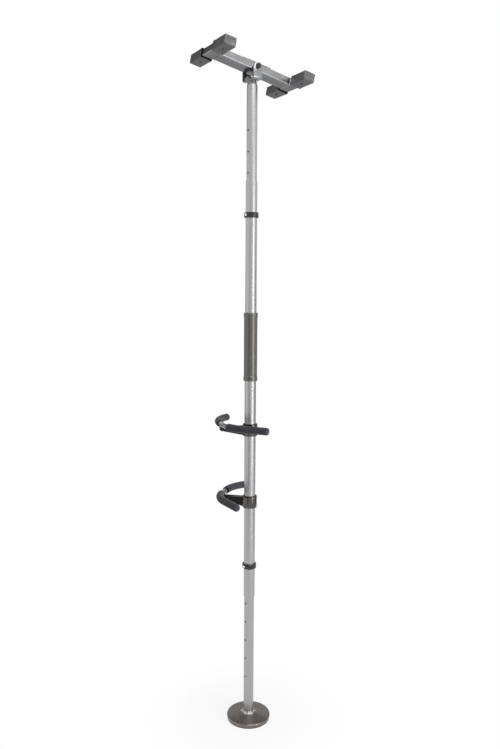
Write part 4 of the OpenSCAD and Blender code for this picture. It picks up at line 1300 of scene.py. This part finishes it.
# Lamps: setting of the power, place, point to face, width and height, and whether gloss shows it.
LAMPS = {
    "tall_soft_lamp": ("key", (1.73, -1.35, 1.55), (0.0, 0.0, 1.55), (1.2, 1.9), True),
    "strip_lamp": ("strip", (1.45, -1.50, 1.20), (0.0, 0.0, 1.20), (0.14, 2.1), True),
    "side_lamp": ("side", (-1.92, -0.55, 1.50), (0.0, 0.0, 1.50), (0.15, 1.4), True),
    "top_soft_lamp": ("top", (0.5, -1.0, 3.4), (0.0, 0.0, 1.4), (1.2, 1.2), True),
    "bounce_lamp": ("bounce", (2.2, -0.9, 0.9), (0.0, 0.0, 1.0), (0.9, 1.2), False),
}
# Cards: shade from black to white, place, point to face, width and height.
CARDS = {
    "front_card": (0.84, (-0.5, -3.4, 1.2), (0.0, 0.0, 1.2), (3.4, 4.4)),
    "overhead_card": (0.22, (0.0, 2.6, 4.2), (0.0, 0.0, 0.0), (6.0, 4.0)),
    "rear_card": (0.39, (0.0, 3.2, 0.8), (0.0, 0.0, 0.8), (9.0, 1.6)),
    "left_card": (0.10, (-2.2, 1.6, 3.75), (-0.18, -0.1, 2.45), (1.6, 1.4)),
    "near_flag": (0.03, (-1.07, -1.92, 0.70), (0.0, 0.0, 0.70), (0.45, 1.6)),
    "far_flag": (0.03, (2.05, 0.47, 0.80), (0.0, 0.0, 0.80), (0.55, 2.4)),
}
# Kinds of light that pass a card as if it were not there.
PASSING = ("camera", "diffuse", "shadow", "transmission", "volume_scatter")


class POLE_OT_studio(Operator):
    """Makes the camera, the pale floor, the soft lamps and the reflector cards"""

    bl_idname = "pole.studio"
    bl_label = "Studio"

    def seen(self, nodes, links):
        """1 for what is seen straight, in a gloss or through glass, and 0 for plain light."""
        path = nodes.new("ShaderNodeLightPath")
        total = path.outputs["Is Camera Ray"]
        for name in ("Is Glossy Ray", "Is Transmission Ray"):
            most = nodes.new("ShaderNodeMath")
            most.operation = "MAXIMUM"
            links.new(total, most.inputs[0])
            links.new(path.outputs[name], most.inputs[1])
            total = most.outputs[0]
        return total

    def mixed(self, nodes, links, share, under, above, output):
        """Sends a mix of two shaders to a new output."""
        mix = nodes.new("ShaderNodeMixShader")
        links.new(share, mix.inputs["Fac"])
        links.new(under.outputs[0], mix.inputs[1])
        links.new(above.outputs[0], mix.inputs[2])
        links.new(mix.outputs[0], nodes.new(output).inputs["Surface"])

    def camera(self, studio):
        """Camera at the height of a standing eye."""
        data = bpy.data.cameras.new("eye")
        data.lens, data.sensor_width, data.sensor_fit = studio.lens, studio.sensor, "AUTO"
        eye = stand("eye", data)
        eye.matrix_world = (
            Matrix.Translation((studio.eye_side, -studio.eye_back, studio.eye_height))
            @ turn(studio.yaw) @ turn(math.pi / 2 - studio.pitch, "X") @ turn(studio.roll)
        )
        bpy.context.scene.camera = eye

    def world(self, studio):
        """White all round to look at, with a lower even light on the part."""
        world = bpy.data.worlds.new("studio_white")
        bpy.context.scene.world = world
        nodes, links = empty_tree(world)
        fill, white = nodes.new("ShaderNodeBackground"), nodes.new("ShaderNodeBackground")
        for light, strength in ((fill, studio.fill), (white, 1.0)):
            light.inputs["Color"].default_value = WHITE
            light.inputs["Strength"].default_value = strength
        self.mixed(nodes, links, self.seen(nodes, links), fill, white, "ShaderNodeOutputWorld")

    def floor(self, studio):
        """Pale floor that keeps the shadow near the dish and runs out into white."""
        bm = bmesh.new()
        bmesh.ops.create_circle(
            bm, cap_ends=True, radius=studio.floor_radius, segments=FLOOR_SIDES)
        floor = stand("pale_floor", mesh_of("pale_floor", moved(bm, lift(-studio.floor_drop))))
        material = bpy.data.materials.new("pale_floor")
        nodes, links = empty_tree(material)
        place, far = nodes.new("ShaderNodeTexCoord"), nodes.new("ShaderNodeVectorMath")
        far.operation = "LENGTH"
        links.new(place.outputs["Object"], far.inputs[0])
        fade = nodes.new("ShaderNodeMapRange")
        fade.interpolation_type = "SMOOTHSTEP"
        fade.inputs["From Min"].default_value = studio.shadow_near
        fade.inputs["From Max"].default_value = studio.shadow_far
        fade.inputs["To Min"].default_value = studio.white_share
        links.new(far.outputs["Value"], fade.inputs["Value"])
        share = nodes.new("ShaderNodeMath")
        share.operation = "MULTIPLY"
        links.new(fade.outputs["Result"], share.inputs[0])
        links.new(self.seen(nodes, links), share.inputs[1])
        matt, white = nodes.new("ShaderNodeBsdfDiffuse"), nodes.new("ShaderNodeEmission")
        matt.inputs["Color"].default_value = studio.floor_colour
        self.mixed(nodes, links, share.outputs[0], matt, white, "ShaderNodeOutputMaterial")
        floor.data.materials.append(material)

    def lamp(self, name, watts, place, target, size, glossy):
        """Soft rectangular lamp that faces a point."""
        data = bpy.data.lights.new(name, "AREA")
        data.shape, data.energy = "RECTANGLE", watts
        data.size, data.size_y = size
        lamp = stand(name, data)
        lamp.visible_glossy = glossy
        aim(lamp, place, target)

    def card(self, name, shade, place, target, size):
        """Grey card that only gloss shows, as a photographer sets one beside bright metal."""
        bm = bmesh.new()
        bmesh.ops.create_grid(bm, x_segments=1, y_segments=1, size=0.5)
        bmesh.ops.scale(bm, vec=(*size, 1.0), verts=bm.verts)
        card = stand(name, mesh_of(name, bm))
        aim(card, place, target)
        for ray in PASSING:
            setattr(card, "visible_" + ray, False)
        material = bpy.data.materials.new(name)
        nodes, links = empty_tree(material)
        grey, output = nodes.new("ShaderNodeEmission"), nodes.new("ShaderNodeOutputMaterial")
        grey.inputs["Color"].default_value = (shade, shade, shade, 1.0)
        links.new(grey.outputs[0], output.inputs["Surface"])
        card.data.materials.append(material)

    def execute(self, context):
        studio = context.scene.pole_studio_settings
        context.scene.view_settings.view_transform = "Standard"
        self.camera(studio)
        self.world(studio)
        self.floor(studio)
        for name, (watts, *setting) in LAMPS.items():
            self.lamp(name, getattr(studio, watts), *setting)
        for name, setting in CARDS.items():
            self.card(name, *setting)
        return {"FINISHED"}


STEPS = (
    POLE_OT_studio,
    POLE_OT_foot,
    POLE_OT_tubes,
    POLE_OT_sleeve,
    POLE_OT_locks,
    POLE_OT_handles,
    POLE_OT_jack,
    POLE_OT_clevis,
    POLE_OT_ceiling_frame,
)


class POLE_PT_dressing(Panel):
    """Lists the steps that dress the pole and the sizes and colours that they use"""

    bl_idname = "POLE_PT_dressing"
    bl_label = "Transfer Pole"
    bl_space_type = "VIEW_3D"
    bl_region_type = "UI"
    bl_category = "Transfer Pole"

    def draw(self, context):
        for step in STEPS:
            self.layout.operator(step.bl_idname)
        for name in SIZE_GROUPS:
            box = self.layout.box()
            group = getattr(context.scene, name)
            for size in group.__annotations__:
                box.prop(group, size)


CLASSES = (*SIZE_GROUPS.values(), *STEPS, POLE_PT_dressing)


def register():
    """Registers the classes and hangs the sizes and colours on the scene."""
    for made in CLASSES:
        bpy.utils.register_class(made)
    for name, group in SIZE_GROUPS.items():
        setattr(bpy.types.Scene, name, PointerProperty(type=group))


def unregister():
    """Takes the sizes and colours off the scene and removes the classes."""
    for name in SIZE_GROUPS:
        delattr(bpy.types.Scene, name)
    for made in reversed(CLASSES):
        bpy.utils.unregister_class(made)


def main():
    """Dresses the pole, step by step."""
    register()
    for step in STEPS:
        group, name = step.bl_idname.split(".")
        getattr(getattr(bpy.ops, group), name)()


if __name__ == "__main__":
    main()
